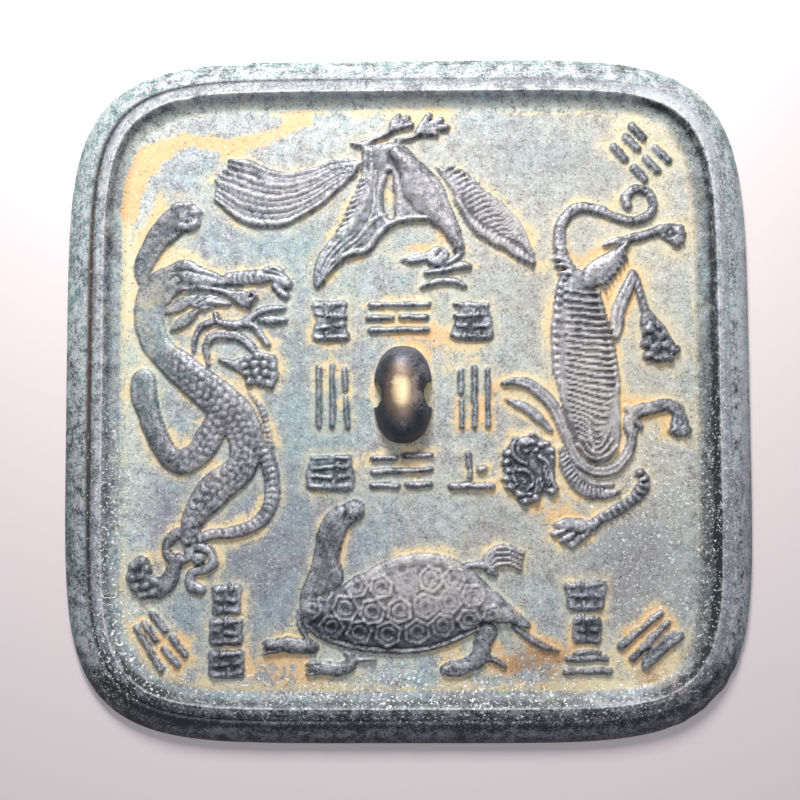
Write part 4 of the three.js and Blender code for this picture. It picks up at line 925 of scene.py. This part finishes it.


# Where each kind of patina, painted shade and painted highlight lies, in millimetres: x, y, reach across
# and along, strength.
# The drifts and feet are lines of earth: points joined up.
zones = {
    "wornNeck": [(-59, 17, 5, 12, 0.5)],
    "earth": [(-60, 57, 5, 4, 0.55), (-65, 44, 2.6, 12, 0.6), (-64, 22, 2.6, 8, 0.45),
              (-52, 33, 5, 2.6, 0.55), (-10, 66, 3, 3.4, 0.5), (46, 27, 9, 14, 0.5),
              (52, 32, 7, 7, 0.25), (45, -2, 14, 10, 0.22), (55, -6, 7, 5, 0.45), (33, -27, 7, 4, 0.35),
              (40, 4, 18, 24, 0.1), (27, -61, 13, 7, 0.5), (-28, -63, 12, 5, 0.4),
              (-56, -59, 9, 8, 0.5), (56, -60, 12, 9, 0.5), (62, -66, 9, 4, 0.5), (0, 34, 7, 5, 0.4),
              (4, 16, 8, 12, 0.3), (14, 10, 8, 10, 0.3), (14, -30, 9, 8, 0.22), (60, 50, 10, 10, 0.2),
              (-38, -33, 9, 8, 0.2), (38, 60, 10, 5, 0.2), (30, 14, 6, 20, 0.2)],
    "cornerDrift": [(-65.4, 44), (-60, 57), (-52, 61), (-41, 59.4), (-30.5, 62), (-24, 65.4)],
    "westDrift": [(-64.4, 30), (-58.6, 43), (-57.4, 48)],
    "westFoot": [(-66, 66), (-66.4, 30), (-66, -10), (-66, -60)],
    "northFoot": [(-60, 66.5), (0, 67.2), (60, 66.4)],
    "southFoot": [(-60, -66.6), (0, -67), (60, -66.4)],
    "warm": [(-62, 56, 8, 14, 0.8), (46, 27, 9, 12, 1.0), (50, -6, 12, 5, 0.9), (33, -27, 7, 4, 0.8),
             (0, 33, 8, 6, 0.7), (27, -61, 13, 7, 0.8), (-28, -63, 12, 5, 0.8), (3, 13, 6, 5, 0.8),
             (16, 0, 6, 9, 0.6), (-56, -59, 9, 8, 0.6), (56, -57, 8, 7, 0.7)],
    "haze": [(63, 34, 6, 34, 0.35), (48, 63, 22, 5, 0.3), (52, -64, 16, 6, 0.3),
             (-62, 10, 5, 46, 0.15)],
    "rust": [(30, -61, 12, 6, 0.8), (58, -66, 9, 5, 0.6), (16, -34, 9, 7, 0.35), (47, 26, 7, 10, 0.25),
             (56, -6, 6, 4, 0.3), (-57, -64, 7, 5, 0.25), (-24, 70, 44, 3, 0.45),
             (-70, 50, 2.4, 18, 0.35)],
    "rustyCrease": [(-73, 10, 4, 40, 0.9), (-20, 74, 50, 4, 0.5)],
    "verdigris": [(-68, 10, 4, 50, 0.5), (-60, 16, 9, 16, 0.8), (-62, -2, 6, 10, 0.5),
                  (-20, 36, 20, 9, 0.3), (-28, 0, 9, 22, 0.35), (-45, -45, 10, 12, 0.2),
                  (-17, 0, 5, 10, 0.7), (15, 0, 4, 9, 0.7), (-1, 17, 9, 4, 0.5), (-19, -17, 5, 5, 0.5),
                  (58, 58, 9, 9, 0.4)],
    "darkFigures": [(-18, -34, 4, 9, 1.2), (12, -60, 30, 3, 0.2), (-42, -10, 12, 26, 0.45)],
    "darkRim": [(-78, -30, 3, 26, 0.7), (79, -30, 4, 30, 0.4), (-68, -70, 20, 14, 0.6)],
    "darkSlope": [(69.6, -40, 3.2, 26, 0.7), (69.6, -4, 2.4, 20, 0.4)],
    "chalkAndPaintedLight": [(-62, -52, 6, 12, 0.3), (-6, -60, 12, 4, 0.3)],
    "paleAndPaintedLight": [(-30, 62, 34, 9, 0.15), (42, 6, 9, 26, 0.3), (24, 42, 6, 6, 0.25)],
    "paleRim": [(78.4, 6, 1.6, 60, 1.0), (60, 66, 14, 10, 0.35)],
    "dust": [(42.5, 10, 8, 14, 0.9), (45, -6, 9, 12, 0.8), (3, 46, 10, 12, 0.5), (-12, 44, 9, 12, 0.1),
             (24, 40, 9, 9, 0.55), (4, -44, 18, 9, 0.95), (-40, -8, 12, 18, 0.3),
             (-46, -24, 10, 10, 0.35), (-34, 46, 17, 9, 0.5)],
    "beige": [(46, 10, 26, 62, 0.85), (10, 40, 40, 26, 0.4), (4, -6, 26, 22, 0.25),
              (20, -30, 24, 12, 0.45), (-20, 62, 40, 8, 0.3), (56, -20, 12, 60, 0.4)],
    "dusk": [(-40, -40, 26, 22, 0.65), (-20, -30, 20, 18, 0.4), (52, -36, 13, 15, 0.95),
             (20, -30, 8, 6, 0.5), (56, 10, 6, 12, 0.35), (32, 24, 8, 16, 0.5), (34, 56, 22, 9, 0.45)],
    "polishAndHighlight": [(-1.2, 0.9, 3.4, 5.4, 1.0)],
    "speckled": [(56, -34, 13, 26, 0.62), (20, -72, 60, 8, 0.5), (-66, -60, 12, 14, 0.7),
                 (0, -66, 50, 5, 0.7), (72, -20, 6, 46, 0.4), (-68, -30, 4, 30, 0.8),
                 (70, 60, 10, 14, 0.5)],
}


def maskPatina(mirror):
    mesh = mirror.data
    count = len(mesh.vertices)
    co = np.empty(count * 3)
    mesh.vertices.foreach_get("co", co)
    x, y, z = co.reshape(-1, 3).T * 1000
    edges = np.empty(len(mesh.edges) * 2, np.int64)
    mesh.edges.foreach_get("vertices", edges)
    edges = edges.reshape(-1, 2)
    relief, gap = reliefAt(np.stack([x, y], 1))
    across = np.hypot((x - knob["centre"][0]) / knob["half"][0], (y - knob["centre"][1]) / knob["half"][1])
    onKnob = softStep((z - 3.3) / 0.8) * (across < 1.15)
    mouth = np.abs(y - knob["centre"][1]) < knob["boreWidth"] / 2 - 0.1
    mouth = mouth * (np.abs(x - knob["centre"][0]) > 3.4) * (z < 3.6) * (across < 1.1)
    inset = insetAt(x, y)
    onField = softStep((inset - 11.6) / 1.0)
    figure = softStep(relief / 0.7) * onField * (across > 1.1) * (1 - patches(x, y, zones["wornNeck"]))
    # how far each place stands above or sinks below its neighbours: the patina paints shade where it sinks
    # and a highlight where it stands
    height = z - blur(z, edges, 14)
    crest = np.clip(height / 0.15, -1, 1)
    knobGap = np.maximum(across - 1, 0) * 8
    foot = np.exp(-((np.minimum(gap, knobGap) / 2.2) ** 2)) * onField
    # warm earth: thick in the north-west corner, thin along the east and south
    earth = patches(x, y, zones["earth"])
    earth += 0.9 * nearPath(x, y, zones["cornerDrift"], 2.4)
    earth += 0.7 * nearPath(x, y, zones["westDrift"], 1.5)
    earth += 0.45 * nearPath(x, y, zones["westFoot"], 1.3)
    earth += 0.45 * nearPath(x, y, zones["northFoot"], 1.3)
    earth += 0.35 * nearPath(x, y, zones["southFoot"], 1.4)
    warm = patches(x, y, zones["warm"])
    warm += 0.8 * nearPath(x, y, zones["cornerDrift"], 3.0)
    toSlope = softStep((inset - 9.8) / 3.0)
    near = np.minimum(gap, knobGap)
    haze = 0.55 * np.exp(-((near / 3.0) ** 2)) + 0.45 * earth
    haze += patches(x, y, zones["haze"])
    east, west = softStep((x - 50) / 8), softStep((-x - 50) / 8)
    north, south = softStep((y - 50) / 10), softStep((-y - 56) / 12)
    fieldEdge = np.exp(-(((inset - 13.4 + 0.5 * south) / 0.75) ** 2)) * (0.15 + 0.6 * south + 0.4 * east)
    haze = (haze * toSlope + fieldEdge) * (1 - figure)
    earth = (earth * onField + 0.25 * fieldEdge) * (1 - figure) + 0.6 * mouth
    rust = patches(x, y, zones["rust"])
    crease = (np.exp(-((inset - plate["creaseAt"]) / (0.4 + 0.2 * west)) ** 2) * creaseShare(x, y)
              * (1 + 0.3 * west))
    rust += crease * patches(x, y, zones["rustyCrease"])
    # the rim: bottle-green crust outside, a bare lilac band inside it, a crest rubbed pale with a painted
    # highlight, a dark slope, and painted shade over the south side and just under the crest
    onRim = 1 - softStep((inset - 8.9) / 0.25)
    outer = 1 - softStep((inset - 5.4) / 0.9)
    brow = softStep((inset - 9.15) / 0.2) * (1 - softStep((inset - 10.2) / 0.9))
    slope = softStep((inset - 10.1) / 1.2) * (1 - softStep((inset - 12.4) / 1.6))
    mint = 0.46 + 0.3 * softStep((y + 30) / 60) + 0.16 * softStep((-x - 40) / 30)
    mint = (mint - 0.62 * south) * onRim * (0.45 + 0.55 * outer)
    verdigris = patches(x, y, zones["verdigris"]) * onField
    # painted shade: the rim is darkened, most on its south side and its south outer band, and in a band
    # just under the crest; the slopes are darker on the west, east and south, and some figures and patches
    # are darker in tone
    dark = onRim * (0.42 + 0.95 * south + 0.05 * north - 0.2 * east * (1 - outer))
    bottom = south * (1 - softStep((x - 30) / 24))
    side = softStep((np.abs(x) - np.abs(y)) / 8 + 0.5)
    dark += brow * (0.1 + 1.3 * west + 2.0 * east + 1.5 * bottom)
    dark += slope * (0.45 * west + 1.0 * east * side + 0.7 * bottom)
    dark += 0.7 * figure * (np.maximum(np.abs(x), np.abs(y)) > 52) + 0.6 * figure * (np.hypot(x, y) < 24)
    dark -= 0.45 * south * np.exp(-(((inset - 8.2) / 0.5) ** 2))
    dark += 0.9 * south * np.exp(-(((inset - 4.9) / 1.1) ** 2))
    dark += patches(x, y, zones["darkFigures"]) * figure
    dark += patches(x, y, zones["darkRim"]) * onRim
    dark += patches(x, y, zones["darkSlope"])
    westBand = west * softStep((inset - 12.0) / 0.8) * (1 - softStep((inset - 16.5) / 7.0))
    westBand *= 0.55 + 0.45 * softStep((y + 34) / 30)
    # chalk on the west band and in patches; on the north and west slopes the same pale colour is painted
    # light
    chalkAndPaintedLight = slope * (0.55 * north + 0.12 * west) + 0.5 * westBand
    chalkAndPaintedLight += patches(x, y, zones["chalkAndPaintedLight"]) * onField
    paleAndPaintedLight = patches(x, y, zones["paleAndPaintedLight"])
    # painted light: the inner band of the rim is lifted on its north, west and east sides, less on the
    # south
    paleAndPaintedLight += onRim * (1 - outer) * (0.35 * north + 0.3 * west + 0.55 * east) - onRim * 0.4 * south
    paleAndPaintedLight += patches(x, y, zones["paleRim"]) * onRim
    # broad bodies hold pale dust, slim limbs are bare and dark
    dust = patches(x, y, zones["dust"]) * onField
    beige = patches(x, y, zones["beige"]) * toSlope
    # dusk: lilac darkening of the field, partly painted shade
    dusk = patches(x, y, zones["dusk"]) * onField
    # painted highlight: a thin bright line on the rim's crest, faint all round and strongest on the north
    # side towards the lamp, and another along the outer edge of the north half; the crest is also rubbed
    crestLineRubAndHighlight = np.exp(-(((inset - 9.12) / 0.17) ** 2)) * (0.1 + 0.55 * north)
    crestLineRubAndHighlight += 0.6 * np.exp(-(((inset - 0.25) / 0.25) ** 2)) * softStep((y - 20) / 40)
    # painted highlight: a gold patch on the knob's worn crown, where the overhead lamp reflects
    polishAndHighlight = patches(x, y, zones["polishAndHighlight"]) * onKnob * softStep((z - 7.5) / 2.5)
    speckled = patches(x, y, zones["speckled"])
    smooth = 0.5 * onRim * outer + 0.45 * (slope + brow) * softStep((y + 10) / 30)
    masks = {"figure": figure, "foot": foot, "speckled": speckled, "crest": crest, "haze": haze,
             "earth": earth, "warm": warm, "rust": rust, "rim": onRim, "mint": mint,
             "verdigris": verdigris, "dark": dark, "chalkAndPaintedLight": chalkAndPaintedLight, "paleAndPaintedLight": paleAndPaintedLight, "dust": dust,
             "beige": beige, "dusk": dusk, "crease": crease, "crestLineRubAndHighlight": crestLineRubAndHighlight, "smooth": smooth,
             "side": side, "button": onKnob, "polishAndHighlight": polishAndHighlight}
    for name, values in masks.items():
        addMask(mesh, name, values)
    print("patina masks kept")


maskPatina(mirror)

# Patina: one bronze under mineral crusts, earth and rubbed metal, with painted shade and painted
# highlights.
def addNode(tree, kind, **settings):
    node = tree.nodes.new(kind)
    for name, value in settings.items():
        if hasattr(node, name):
            setattr(node, name, value)
        else:
            node.inputs[name.replace("_", " ")].default_value = value
    return node


def put(tree, socket, value):
    # a link where the value is another node's output, a fixed value otherwise
    if isinstance(value, bpy.types.NodeSocket):
        tree.links.new(value, socket)
    elif isinstance(value, tuple):
        socket.default_value = value + (1.0,) if socket.type == "RGBA" and len(value) == 3 else value
    else:
        socket.default_value = value


def sums(tree, operation, first, second=0.0, third=0.0, clamp=False):
    node = addNode(tree, "ShaderNodeMath", operation=operation, use_clamp=clamp)
    for socket, value in zip(node.inputs, (first, second, third)):
        put(tree, socket, value)
    return node.outputs[0]


def times(tree, first, second, clamp=False):
    return sums(tree, "MULTIPLY", first, second, clamp=clamp)


def plus(tree, first, second, clamp=False):
    return sums(tree, "ADD", first, second, clamp=clamp)


def minus(tree, first, second, clamp=False):
    return sums(tree, "SUBTRACT", first, second, clamp=clamp)


def stepped(tree, value, low, high):
    # 0 below the low value, 1 above the high one
    node = addNode(tree, "ShaderNodeMapRange", interpolation_type="SMOOTHSTEP")
    put(tree, node.inputs["Value"], value)
    node.inputs["From Min"].default_value = low
    node.inputs["From Max"].default_value = high
    return node.outputs[0]


def tint(tree, mask, under, over, blend="MIX"):
    node = addNode(tree, "ShaderNodeMix", data_type="RGBA", blend_type=blend)
    put(tree, node.inputs[0], mask)
    put(tree, node.inputs[6], under)
    put(tree, node.inputs[7], over)
    return node.outputs[2]


def noise(tree, place, millimetres, detail=3.0, roughness=0.55, distortion=0.0):
    node = addNode(tree, "ShaderNodeTexNoise")
    put(tree, node.inputs["Vector"], place)
    node.inputs["Scale"].default_value = 1000 / millimetres
    node.inputs["Detail"].default_value = detail
    node.inputs["Roughness"].default_value = roughness
    node.inputs["Distortion"].default_value = distortion
    return node.outputs[0]


def mask(tree, name):
    return addNode(tree, "ShaderNodeAttribute", attribute_name=name).outputs["Fac"]


def colour(red, green, blue):
    # a colour as seen on screen, 0 to 255, turned to linear
    return tuple((((c / 255 + 0.055) / 1.055) ** 2.4 if c > 10 else c / 255 / 12.92
                  for c in (red, green, blue)))


def buildGrain():
    # the grain of old mineral crust, shared by every surface of the bronze
    group = bpy.data.node_groups.new("crustGrain", "ShaderNodeTree")
    for name in ("mottle", "white specks", "dark specks", "cloud", "flake", "streak"):
        group.interface.new_socket(name, in_out="OUTPUT", socket_type="NodeSocketFloat")
    out = group.nodes.new("NodeGroupOutput")
    place = addNode(group, "ShaderNodeTexCoord").outputs["Object"]
    fine = noise(group, place, 0.55, 4.0, 0.7)
    coarse = noise(group, place, 2.6, 4.0, 0.62, 0.4)
    put(group, out.inputs["mottle"], plus(group, times(group, fine, 0.54), times(group, coarse, 0.46)))
    whites = noise(group, place, 0.75, 2.0, 0.85)
    put(group, out.inputs["white specks"], whites)
    shifted = addNode(group, "ShaderNodeVectorMath", operation="ADD")
    put(group, shifted.inputs[0], place)
    shifted.inputs[1].default_value = (0.31, 0.17, 0.05)
    darks = noise(group, shifted.outputs[0], 0.75, 3.0, 0.9)
    put(group, out.inputs["dark specks"], stepped(group, darks, 0.57, 0.68))
    put(group, out.inputs["cloud"], noise(group, place, 14.0, 5.0, 0.6, 0.6))
    put(group, out.inputs["flake"], noise(group, shifted.outputs[0], 5.0, 6.0, 0.68, 0.8))
    # streaks run along the rim: down its east and west sides, across its north and south
    streaks = []
    for scale in ((0.1, 1.0, 1.0), (1.0, 0.1, 1.0)):
        drawn = addNode(group, "ShaderNodeVectorMath", operation="MULTIPLY")
        put(group, drawn.inputs[0], place)
        drawn.inputs[1].default_value = scale
        streaks.append(noise(group, drawn.outputs[0], 1.5, 3.0, 0.7))
    swap = addNode(group, "ShaderNodeMix")
    for socket, value in zip((swap.inputs[0], swap.inputs[2], swap.inputs[3]),
                             (mask(group, "side"), *streaks)):
        put(group, socket, value)
    put(group, out.inputs["streak"], swap.outputs[0])
    return group


patina = {
    "field": colour(122, 140, 150),
    "lilac": colour(118, 119, 128),
    "light": colour(196, 203, 202),
    "deep": colour(52, 60, 66),
    "beige": colour(164, 158, 142),
    # lilac darkening, partly painted shade
    "dusk": colour(98, 97, 112),
    # chalk, and painted light on the north and west slopes
    "chalkAndPaintedLight": colour(206, 212, 202),
    "dust": colour(156, 151, 153),
    # dust in painted shade
    "dustShade": colour(96, 93, 92),
    # rubbed dust, partly a painted highlight
    "dustRubHighlight": colour(196, 188, 168),
    "haze": colour(202, 187, 154),
    "moss": colour(158, 160, 142),
    "figure": colour(122, 122, 135),
    "figureDeep": colour(56, 60, 68),
    "figurePale": colour(160, 157, 158),
    # painted shade in the hollows of the relief
    "crevice": colour(34, 36, 42),
    # rubbed metal on the crests, partly a painted highlight
    "rubbed": colour(192, 190, 196),
    "cream": colour(200, 165, 118),
    "creamPale": colour(196, 187, 156),
    "rust": colour(138, 96, 62),
    "mint": colour(108, 138, 137),
    "mintPale": colour(176, 190, 186),
    # the rim's inner band where it is painted lighter
    "bandPale": colour(172, 176, 182),
    "bottle": colour(34, 44, 48),
    "band": colour(136, 136, 144),
    # black: dark specks, and painted shade on the rim
    "black": colour(24, 28, 34),
    "speck": colour(236, 238, 236),
    "soiled": colour(56, 42, 36),
    # a painted highlight on the rim's crest line, over rubbed metal
    "crest": colour(226, 228, 224),
    "bare": colour(62, 67, 78),
    "metal": colour(98, 96, 100),
    "warmMetal": colour(122, 106, 96),
    # painted highlight on the knob's crown
    "goldHighlight": colour(214, 188, 152),
}


def buildPatina(grainGroup):
    material = bpy.data.materials.new("bronzePatina")
    material.use_nodes = True
    tree = material.node_tree
    tree.nodes.clear()
    surface = addNode(tree, "ShaderNodeBsdfPrincipled")
    output = addNode(tree, "ShaderNodeOutputMaterial")
    tree.links.new(surface.outputs[0], output.inputs[0])
    grain = addNode(tree, "ShaderNodeGroup", node_tree=grainGroup).outputs
    figure, crest = mask(tree, "figure"), mask(tree, "crest")
    tone = patina
    # ground crust
    base = tint(tree, stepped(tree, grain["cloud"], 0.40, 0.58), tone["field"], tone["lilac"])
    base = tint(tree, times(tree, stepped(tree, grain["flake"], 0.52, 0.66), 0.55), base, tone["moss"])
    base = tint(tree, times(tree, mask(tree, "beige"), 0.8, clamp=True), base, tone["beige"])
    lightness = plus(tree, grain["mottle"], times(tree, mask(tree, "paleAndPaintedLight"), 0.12))
    base = tint(tree, times(tree, stepped(tree, lightness, 0.42, 0.72), 0.8), base, tone["light"])
    base = tint(tree, times(tree, stepped(tree, grain["mottle"], 0.48, 0.3), 0.85), base, tone["deep"])
    # lilac darkening of the field, partly painted shade
    base = tint(tree, times(tree, mask(tree, "dusk"), 0.62, clamp=True), base, tone["dusk"])
    minty = times(tree, mask(tree, "verdigris"), stepped(tree, grain["flake"], 0.3, 0.62), clamp=True)
    base = tint(tree, minty, base, tone["mint"])
    # chalk on the west band and in patches, and painted light in the same pale colour on the north and west
    # slopes
    chalkAndLightCover = times(tree, mask(tree, "chalkAndPaintedLight"), stepped(tree, grain["mottle"], 0.34, 0.56), clamp=True)
    base = tint(tree, chalkAndLightCover, base, tone["chalkAndPaintedLight"])
    # bottle-green and mint crust on the outer band of the rim, bare lilac bronze on the inner one
    ragged = plus(tree, times(tree, minus(tree, grain["flake"], 0.5), 1.5),
                  times(tree, minus(tree, grain["mottle"], 0.5), 1.2))
    streaked = times(tree, minus(tree, grain["streak"], 0.5), 2.2)
    cover = stepped(tree, plus(tree, plus(tree, mask(tree, "mint"), ragged), streaked), 0.2, 1.1)
    crust = tint(tree, stepped(tree, grain["mottle"], 0.43, 0.58), tone["mint"], tone["mintPale"])
    bandTone = tint(tree, stepped(tree, grain["mottle"], 0.4, 0.57), tone["bottle"], tone["band"])
    crust = tint(tree, cover, bandTone, crust)
    gone = times(tree, stepped(tree, plus(tree, grain["flake"], times(tree, grain["mottle"], 0.7)),
                               0.84, 0.76), 0.75)
    thick = minus(tree, 1.0, times(tree, mask(tree, "mint"), 0.9), clamp=True)
    crust = tint(tree, times(tree, gone, thick), crust, tone["bottle"])
    # the rim's inner band, painted lighter on the north, west and east
    crust = tint(tree, times(tree, mask(tree, "paleAndPaintedLight"), 0.8, clamp=True), crust, tone["bandPale"])
    base = tint(tree, mask(tree, "rim"), base, crust)
    # the raised work is darker and cleaner; painted shade darkens its hollows and the feet of the figures,
    # and its crests are rubbed pale with a painted highlight
    dusty = times(tree, mask(tree, "dust"),
                  stepped(tree, plus(tree, grain["cloud"], times(tree, ragged, 0.3)), 0.25, 0.6),
                  clamp=True)
    raised = tint(tree, stepped(tree, grain["mottle"], 0.36, 0.66), tone["figureDeep"], tone["figure"])
    raised = tint(tree, times(tree, mask(tree, "paleAndPaintedLight"), 0.9, clamp=True), raised, tone["figurePale"])
    raised = tint(tree, times(tree, minty, 0.8), raised, tone["mint"])
    raised = tint(tree, dusty, raised, tone["dust"])
    base = tint(tree, times(tree, figure, 0.88), base, raised)
    # painted shade: the hollows of the relief and the field at the figures' feet are darkened, to a dark
    # dust where dust lies
    hollowShade = tint(tree, dusty, tone["crevice"], tone["dustShade"])
    sunk = times(tree, stepped(tree, crest, -0.05, -0.8), plus(tree, 0.06, times(tree, figure, 0.84)))
    base = tint(tree, sunk, base, hollowShade)
    # crests rubbed pale: worn metal and a painted highlight
    rubAndHighlight = times(tree, stepped(tree, crest, 0.2, 0.9), stepped(tree, grain["mottle"], 0.38, 0.6))
    worn = tint(tree, dusty, tone["rubbed"], tone["dustRubHighlight"])
    base = tint(tree, times(tree, rubAndHighlight, 0.55), base, worn)
    # a pale haze, then earth in crisp-edged patches and round the feet of the figures
    hazy = stepped(tree, plus(tree, mask(tree, "haze"), times(tree, ragged, 0.4)), 0.16, 1.0)
    base = tint(tree, times(tree, hazy, 0.66), base, tone["haze"])
    held = times(tree, mask(tree, "foot"), stepped(tree, grain["cloud"], 0.4, 0.56))
    laid = plus(tree, plus(tree, mask(tree, "earth"), times(tree, held, 0.62)), ragged)
    earth = times(tree, stepped(tree, laid, 0.38, 0.7), minus(tree, 1.0, figure), clamp=True)
    warmth = plus(tree, plus(tree, mask(tree, "warm"), times(tree, held, 0.45)),
                  times(tree, ragged, 0.5))
    soil = tint(tree, stepped(tree, warmth, 0.1, 0.9), tone["creamPale"], tone["cream"])
    rusty = stepped(tree, plus(tree, mask(tree, "rust"), times(tree, ragged, 0.7)), 0.3, 0.75)
    soil = tint(tree, times(tree, rusty, 0.75), soil, tone["rust"])
    base = tint(tree, times(tree, earth, 0.85), base, soil)
    base = tint(tree, times(tree, rusty, 0.3), base, tone["rust"])
    clean = plus(tree, times(tree, figure, 0.35), mask(tree, "smooth"))
    speckled = mask(tree, "speckled")
    strewn = plus(tree, 0.35, times(tree, speckled, 0.6))
    specks = stepped(tree, plus(tree, grain["white specks"], times(tree, speckled, 0.045)), 0.6, 0.68)
    specks = times(tree, specks, minus(tree, strewn, clean), clamp=True)
    base = tint(tree, times(tree, grain["dark specks"], 0.6), base, tone["black"])
    soiled = tint(tree, rusty, tone["black"], tone["soiled"])
    base = tint(tree, times(tree, mask(tree, "crease"), 0.85, clamp=True), base, soiled)
    # painted shade on the rim and just under its crest, with darker tone on some figures, slopes and
    # patches
    paintedShadeAndDarkTone = times(tree, mask(tree, "dark"),
                  plus(tree, 0.45, times(tree, minus(tree, 0.5, grain["mottle"]), 1.2)), clamp=True)
    base = tint(tree, paintedShadeAndDarkTone, base, tone["black"])
    base = tint(tree, specks, base, tone["speck"])
    # the thin line on the rim's crest: rubbed metal and a painted highlight
    crestHighlight = times(tree, mask(tree, "crestLineRubAndHighlight"), stepped(tree, grain["mottle"], 0.4, 0.56))
    base = tint(tree, times(tree, crestHighlight, 0.8), base, tone["crest"])
    # the knob is bare bronze, worn by cords and hands; the gold on its crown is a painted highlight where
    # the overhead lamp reflects
    button, polishAndHighlight = mask(tree, "button"), mask(tree, "polishAndHighlight")
    bare = tint(tree, stepped(tree, grain["mottle"], 0.35, 0.7), tone["bare"], tone["metal"])
    shine = plus(tree, polishAndHighlight, times(tree, minus(tree, grain["flake"], 0.5), 0.5))
    bare = tint(tree, stepped(tree, shine, 0.02, 0.5), bare, tone["warmMetal"])
    bare = tint(tree, stepped(tree, shine, 0.5, 0.95), bare, tone["goldHighlight"])
    base = tint(tree, button, base, bare)
    put(tree, surface.inputs["Base Color"], base)
    bareWork = times(tree, figure, minus(tree, 1.0, dusty))
    metal = plus(tree, times(tree, bareWork, 0.35), times(tree, button, 0.8))
    put(tree, surface.inputs["Metallic"], times(tree, metal, minus(tree, 1.0, earth), clamp=True))
    rough = minus(tree, 0.62, times(tree, bareWork, 0.22))
    rough = minus(tree, rough, times(tree, button, 0.1))
    rough = plus(tree, rough, times(tree, earth, 0.3))
    put(tree, surface.inputs["Roughness"],
        plus(tree, rough, times(tree, minus(tree, grain["mottle"], 0.5), 0.35), clamp=True))
    skin = plus(tree, grain["mottle"], times(tree, specks, 0.35))
    skin = minus(tree, skin, times(tree, grain["dark specks"], 0.3))
    bump = addNode(tree, "ShaderNodeBump")
    put(tree, bump.inputs["Height"], skin)
    put(tree, bump.inputs["Strength"], minus(tree, 0.85, times(tree, button, 0.5)))
    bump.inputs["Distance"].default_value = 0.00022
    put(tree, surface.inputs["Normal"], bump.outputs[0])
    return material


mirror.data.materials.clear()
mirror.data.materials.append(buildPatina(buildGrain()))
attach(mirror, "root")
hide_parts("mirror")
print("patina made")

# Studio: a pale table, one near soft lamp to the north, a dim one above.
studio = {
    "table": colour(196, 186, 188),
    "sky": (0.78, 0.86, 1.0),
    "skyStrength": 0.2,
    "lamps": [
        {"name": "northLamp", "at": (-0.03, 0.25, 0.2), "aim": (0.0, -0.015, 0.0), "size": 0.09,
         "watts": 1.9, "tone": (1.0, 0.98, 0.95)},
        {"name": "overLamp", "at": (0.04, 0.03, 0.6), "aim": (0.0, 0.0, 0.0), "size": 0.22,
         "watts": 1.6, "tone": (0.97, 0.99, 1.0)},
    ],
    "tableHalf": 3.0,
    "tableRoughness": 0.8,
    # the photograph's own view, solved from the mirror's outline
    "sensorWidth": 36,
    "lens": 38.25,
    "nearClip": 0.01,
    "cameraAt": (0.000472, -0.009289, 0.200212),
    "cameraTurn": (0.04226, 0.01026, -0.00413),
}


def aimed(thing, target):
    way = thing.location - Vector(target)
    thing.rotation_euler = way.to_track_quat("Z", "Y").to_euler()


def lightMirror():
    for lamp in studio["lamps"]:
        light = bpy.data.lights.new(lamp["name"], "AREA")
        light.shape = "SQUARE"
        light.size = lamp["size"]
        light.energy = lamp["watts"]
        light.color = lamp["tone"]
        thing = bpy.data.objects.new(lamp["name"], light)
        thing.location = lamp["at"]
        bpy.context.scene.collection.objects.link(thing)
        aimed(thing, lamp["aim"])
    world = bpy.data.worlds.new("studioAir")
    world.use_nodes = True
    air = world.node_tree.nodes["Background"]
    air.inputs["Color"].default_value = studio["sky"] + (1.0,)
    air.inputs["Strength"].default_value = studio["skyStrength"]
    bpy.context.scene.world = world


def layTable():
    bm = bmesh.new()
    bmesh.ops.create_grid(bm, x_segments=1, y_segments=1, size=studio["tableHalf"])
    mesh = bpy.data.meshes.new("table")
    bm.to_mesh(mesh)
    bm.free()
    table = bpy.data.objects.new("table", mesh)
    bpy.context.scene.collection.objects.link(table)
    paper = bpy.data.materials.new("tablePaper")
    paper.use_nodes = True
    surface = paper.node_tree.nodes["Principled BSDF"]
    surface.inputs["Base Color"].default_value = studio["table"] + (1.0,)
    surface.inputs["Roughness"].default_value = studio["tableRoughness"]
    mesh.materials.append(paper)


def placeCamera():
    lens = bpy.data.cameras.new("photoView")
    lens.sensor_width = studio["sensorWidth"]
    lens.lens = studio["lens"]
    lens.clip_start = studio["nearClip"]
    camera = bpy.data.objects.new("photoView", lens)
    camera.location = studio["cameraAt"]
    camera.rotation_euler = studio["cameraTurn"]
    bpy.context.scene.collection.objects.link(camera)
    bpy.context.scene.camera = camera


lightMirror()
layTable()
placeCamera()
bpy.context.scene.view_settings.view_transform = "Standard"
print("stage set")
